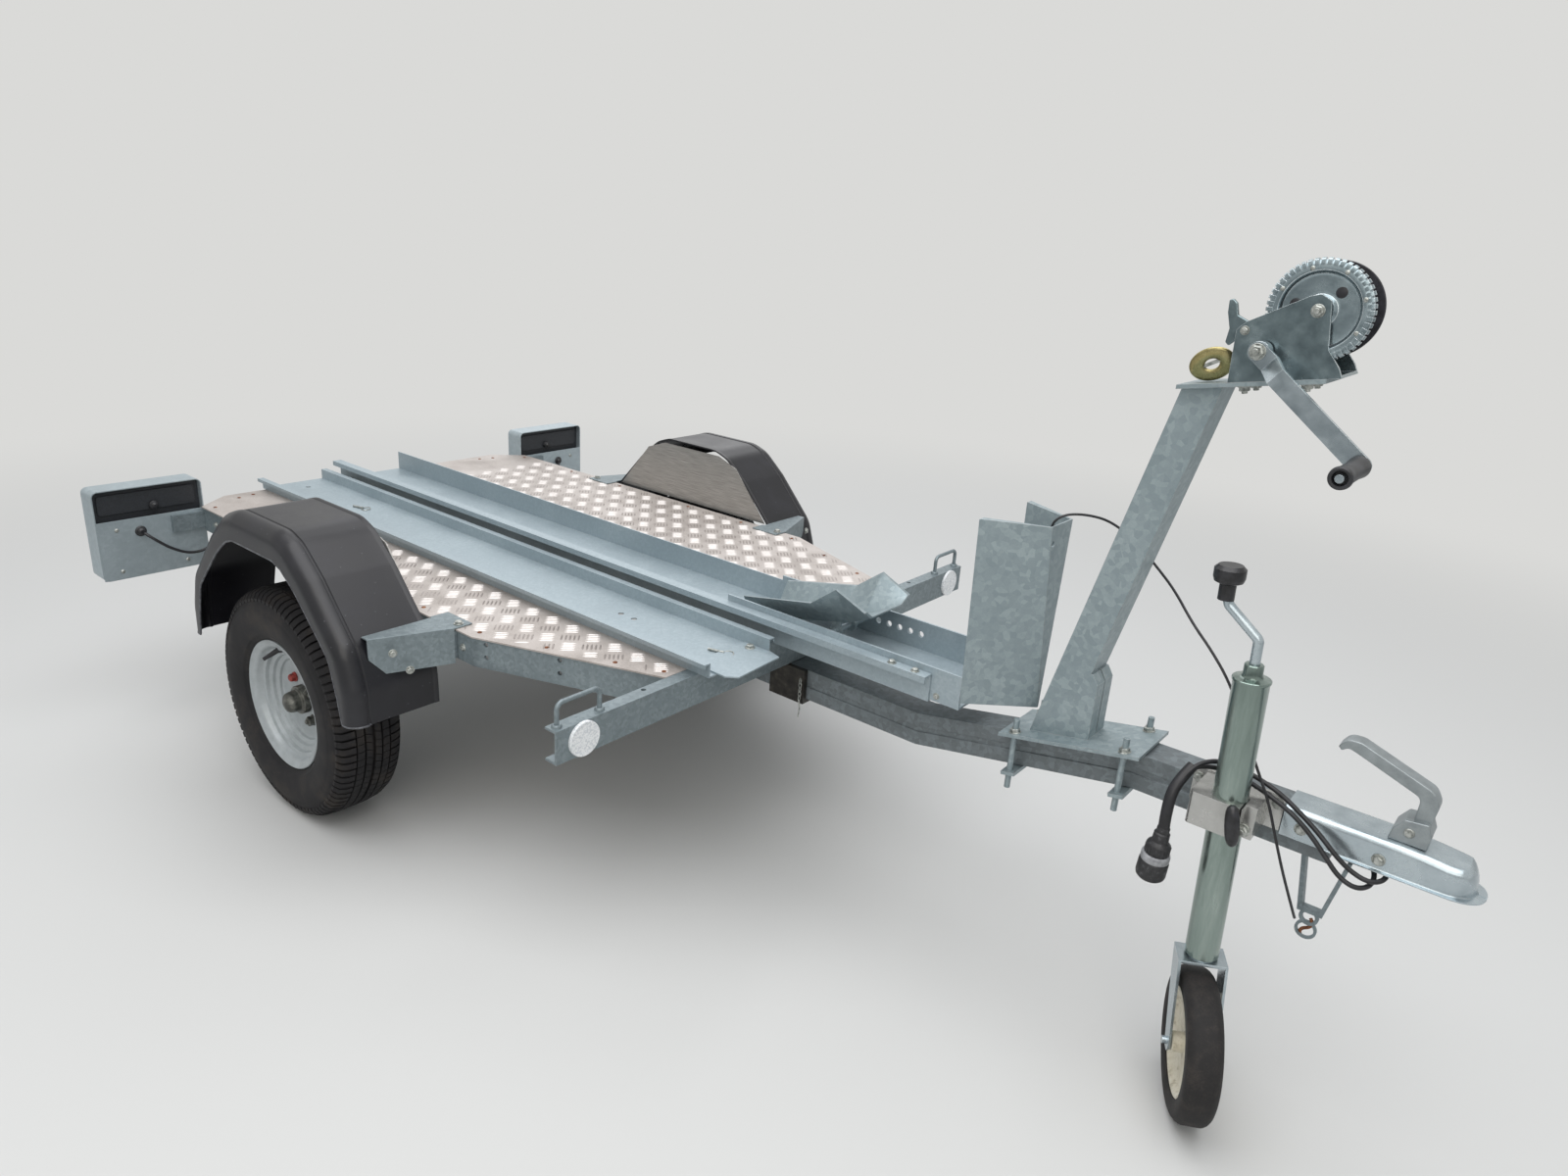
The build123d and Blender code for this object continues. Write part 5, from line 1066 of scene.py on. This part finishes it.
# The lock ring is of the same plastic in grey
plug_grey = mottled("grey_lock_ring_polyamide", ((0.35, "7C7D80"), (0.6, "9C9DA0"), (0.85, "B4B5B8")),
                    (110.0, 4.0), Roughness=0.5)
plug_high, plug_low = spot(1589.5, -121, 447.7), spot(1583.5, -121, 360)
plug_way = (plug_low - plug_high).normalized()
grip_ribs = 20
cap_profile = [(0, 0.4), (8.4, 0.4), (9.2, 2), (9.2, 9), (11.4, 11), (12, 24), (14.6, 27), (16.6, 29),
               (17.4, 31), (17.4, 46), (16, 48), (0, 48)]
ring_profile = [(0, 45), (18.4, 45), (20.2, 46.2), (20.8, 48), (20.8, 55), (20, 57), (18.6, 58), (0, 58)]
body_profile = [(0, 56), (19, 56), (20.8, 57.6), (21.6, 60), (21.8, 80), (20.6, 84.4), (17.6, 87.4),
                (13, 88), (0, 88)]
for title, material, profile, node_name in (
    ("plug_cap", plug_black, cap_profile, "cable_plug"),
    ("plug_lock_ring", plug_grey, ring_profile, None),
    ("plug_body", plug_black, body_profile, None),
):
    made = [turned(profile, plug_high, plug_way, 40)]
    if title == "plug_cap":
        for count in range(grip_ribs):
            angle = 2 * math.pi * count / grip_ribs
            foot = plug_high + plug_way * 0.0315 + Vector((math.cos(angle), math.sin(angle), 0)) * 0.0172
            made.append(turned([(0, 0), (1.1, 0), (1.1, 14), (0, 14)], foot, plug_way, 6))
        joined(*made[:-1])
    settle(title, material, "chassis", smooth=38, stands_for=node_name)

# Thick sleeve over both strands above the plug
strand("plug_sleeve", ((1600, -82, 536), (1588.5, -106, 514), (1587, -120, 480), (1589.4, -121, 446)), 16.6,
       cable_rubber, bend_steps=12)


# Loose hardware. Two lynch pins with their rings lie on the ramp, a split pin on a few
# links of chain hangs at the drawbar socket, and a rusted hook holds the hanger's ring.
def bent_wire(name, points, diameter, material=fastener_zinc, closed=False):
    """Bent round wire through millimetre points."""
    strand(name, points, diameter, material, closed=closed, bend_steps=8, round_steps=3)


def loop(middle, reach_a, reach_b):
    """Eight points round a loop, from its middle and its two half axes in millimetres."""
    middle, reach_a, reach_b = Vector(middle), Vector(reach_a), Vector(reach_b)
    turns = [math.radians(a) for a in range(0, 360, 45)]
    return [middle + reach_a * math.cos(turn) + reach_b * math.sin(turn) for turn in turns]


ramp_floor = 486.5
for count, (x, y) in enumerate(((-417, -207), (793, -204))):
    z = ramp_floor + 2.6
    bent_wire(f"lynch_pin_{count + 1}", [(x - 26, y - 6, z), (x - 4, y - 1, z), (x + 6, y + 2, z + 0.4)], 5)
    sprung = loop((x + 14, y + 4, ramp_floor + 2.2), (11, 0, 0), (0, 11, 1.6))
    bent_wire(f"lynch_pin_ring_{count + 1}", sprung, 2.2, closed=True)
for count in range(5):
    # Each link hangs across the one above it
    across = (0, 3.2, 0) if count % 2 == 0 else (3.2, 0, 0)
    link = loop((858, -43.5, 402 - 9 * count), across, (0, 0, 6.2))
    bent_wire(f"pin_chain_link_{count + 1}", link, 1.6, closed=True)
split_pin = [(858, -43.5, 362), (860, -46, 356), (861, -44, 348), (860, -43, 338), (858, -43, 326)]
bent_wire("socket_split_pin", split_pin, 3.2)
hook_line = [(1786, 0, 326), (1791, 0, 318), (1786, 0, 310), (1778, 1, 305), (1775, 3, 296), (1779, 4, 290.5)]
bent_wire("hanger_hook", hook_line, 5, rusty_steel)


# Reflectors and cable glands. Round lenses with prism cells of 3 mm behind a clear face
# on the crossbeam, the rope rails' collars there, and rubber glands in the lamp boxes.
lens_white, tree, shader, place = new_material("prismatic_white_reflector")
prisms = node(tree, "TexVoronoi", Vector=place, Scale=333.0), "Distance"
# Each prism cell is painted darker towards its edges, as painted shade between the prisms
prism_cells_with_painted_shade = colour_steps(prisms, ((0.0, "F6F7F7"), (0.4, "E9EBEC"), (0.8, "CDD1D5")))
connect(shader, Base_Color=prism_cells_with_painted_shade, Normal=dented(prisms, 0.3, 0.0004), Roughness=0.12, Coat_Weight=0.6)
for side_name, side in sides:
    turned([(0, 5.6), (20, 5.4), (26, 5), (28, 5.6), (29.4, 5.2), (30, 4), (30, 0.02), (0, 0.02)],
           spot(823, side * 551.5, 454.5), fore, 48)
    settle(f"{side_name}_front_reflector", lens_white, "chassis", smooth=30,
           stands_for=f"{side_name}_reflector")
    for count, y in enumerate((507, 593)):
        turned([(4.1, 5), (6.5, 5), (8, 3.5), (8.4, 0), (4.1, 0), (4.1, 5)], spot(809.5, side * y, 483.5),
               rise_up, 24)
        settle(f"{side_name}_rope_rail_collar_{count + 1}", frame_zinc, "chassis",
               smooth=40)
    for title, x, y, z, size in (("upper", -683, 579, 501, 1.5), ("main", -674, 618, 446, 1.7)):
        gland = ((0, 11), (2.6, 11), (3.4, 10), (4.4, 7), (5.0, 6.4), (5.4, 4), (6.8, 3), (7.4, 1.6),
                 (7.4, 0), (0, 0))
        turned([(radius * size, along) for radius, along in gland], spot(x, side * y, z), fore, 28)
        settle(f"{side_name}_{title}_cable_gland", cable_rubber, "chassis", smooth=35)


# Tail lamps. A black moulded body in the folded box, with ribbed acrylic lenses snapped
# to its rear face: red over most of it, amber at the outer end, a clear strip below.
lamp_black = mottled("black_moulded_lamp_plastic", ((0.3, "232528"), (0.7, "303338")), (400.0, 2.0),
                     Roughness=0.5)


def acrylic(name, deep, pale):
    """Moulded acrylic lens with upright ribs 10 mm apart on its inside."""
    return banded(name, ((0.15, deep), (0.9, pale)), 31.8, 0.0, (0.25, 0.0008), Roughness=0.14,
                  Coat_Weight=0.5)


# Three lens colours: red for tail and stop, amber for turning, clear for the number plate's lamp
lens_red = acrylic("red_acrylic_lens", "6E0A0E", "A8161C")
lens_amber = acrylic("amber_acrylic_lens", "B4560A", "E08A1C")
lens_clear = acrylic("clear_acrylic_lens", "B9BCBD", "E4E6E6")
for side_name, side in sides:
    body = refined(f"{side_name}_tail_lamp", lamp_black, "chassis")
    # The rear face is set back, so that the lenses stand where the body's face was
    rear, bevel_reach, set_back = min(corner.co.x for corner in body.data.vertices), 0.0012, 0.0045
    for corner in body.data.vertices:
        if corner.co.x < rear + bevel_reach:
            corner.co.x += set_back
    for title, material, y_in, y_out, z_low, z_high in (
        ("stop_lens", lens_red, 486, 640, 392, 538),
        ("indicator_lens", lens_amber, 643, 696, 392, 538),
        ("plate_lens", lens_clear, 486, 560, 351, 389),
        ("reflex_lens", lens_red, 563, 696, 351, 389),
    ):
        bpy.ops.object.select_all(action="DESELECT")
        middle = (rear + 0.0032, side * (y_in + y_out) / 2000, (z_low + z_high) / 2000)
        bpy.ops.mesh.primitive_cube_add(size=1, location=middle)
        bpy.ops.object.mode_set(mode="EDIT")
        bpy.ops.mesh.select_all(action="SELECT")
        bpy.ops.transform.resize(value=(0.0058, (y_out - y_in) / 1000, (z_high - z_low) / 1000))
        bpy.ops.object.mode_set(mode="OBJECT")
        settle(f"{side_name}_{title}", material, "chassis", 2.2, 3)


# Guard panels. Aluminium sheet of 2 mm, brushed along its length and left bare, screwed
# on between the bed's side and the mudguard.
brushed, tree, shader, place = new_material("brushed_aluminium_sheet")
drawn_out = node(tree, "Mapping", Vector=place, Scale=(1, 20, 40)), "Vector"
strokes = noise(drawn_out, 22.0, 4.0)
bare_metal = colour_steps(strokes, ((0.3, "8F8D89"), (0.5, "A9A7A3"), (0.75, "C4C2BE")))
connect(shader, Base_Color=bare_metal, Metallic=0.7, Roughness=0.36)
for side_name, side in sides:
    dress(f"{side_name}_guard_panel", brushed)

# The masters of the small parts were only for copying
for spare in masters:
    bpy.data.objects.remove(spare)
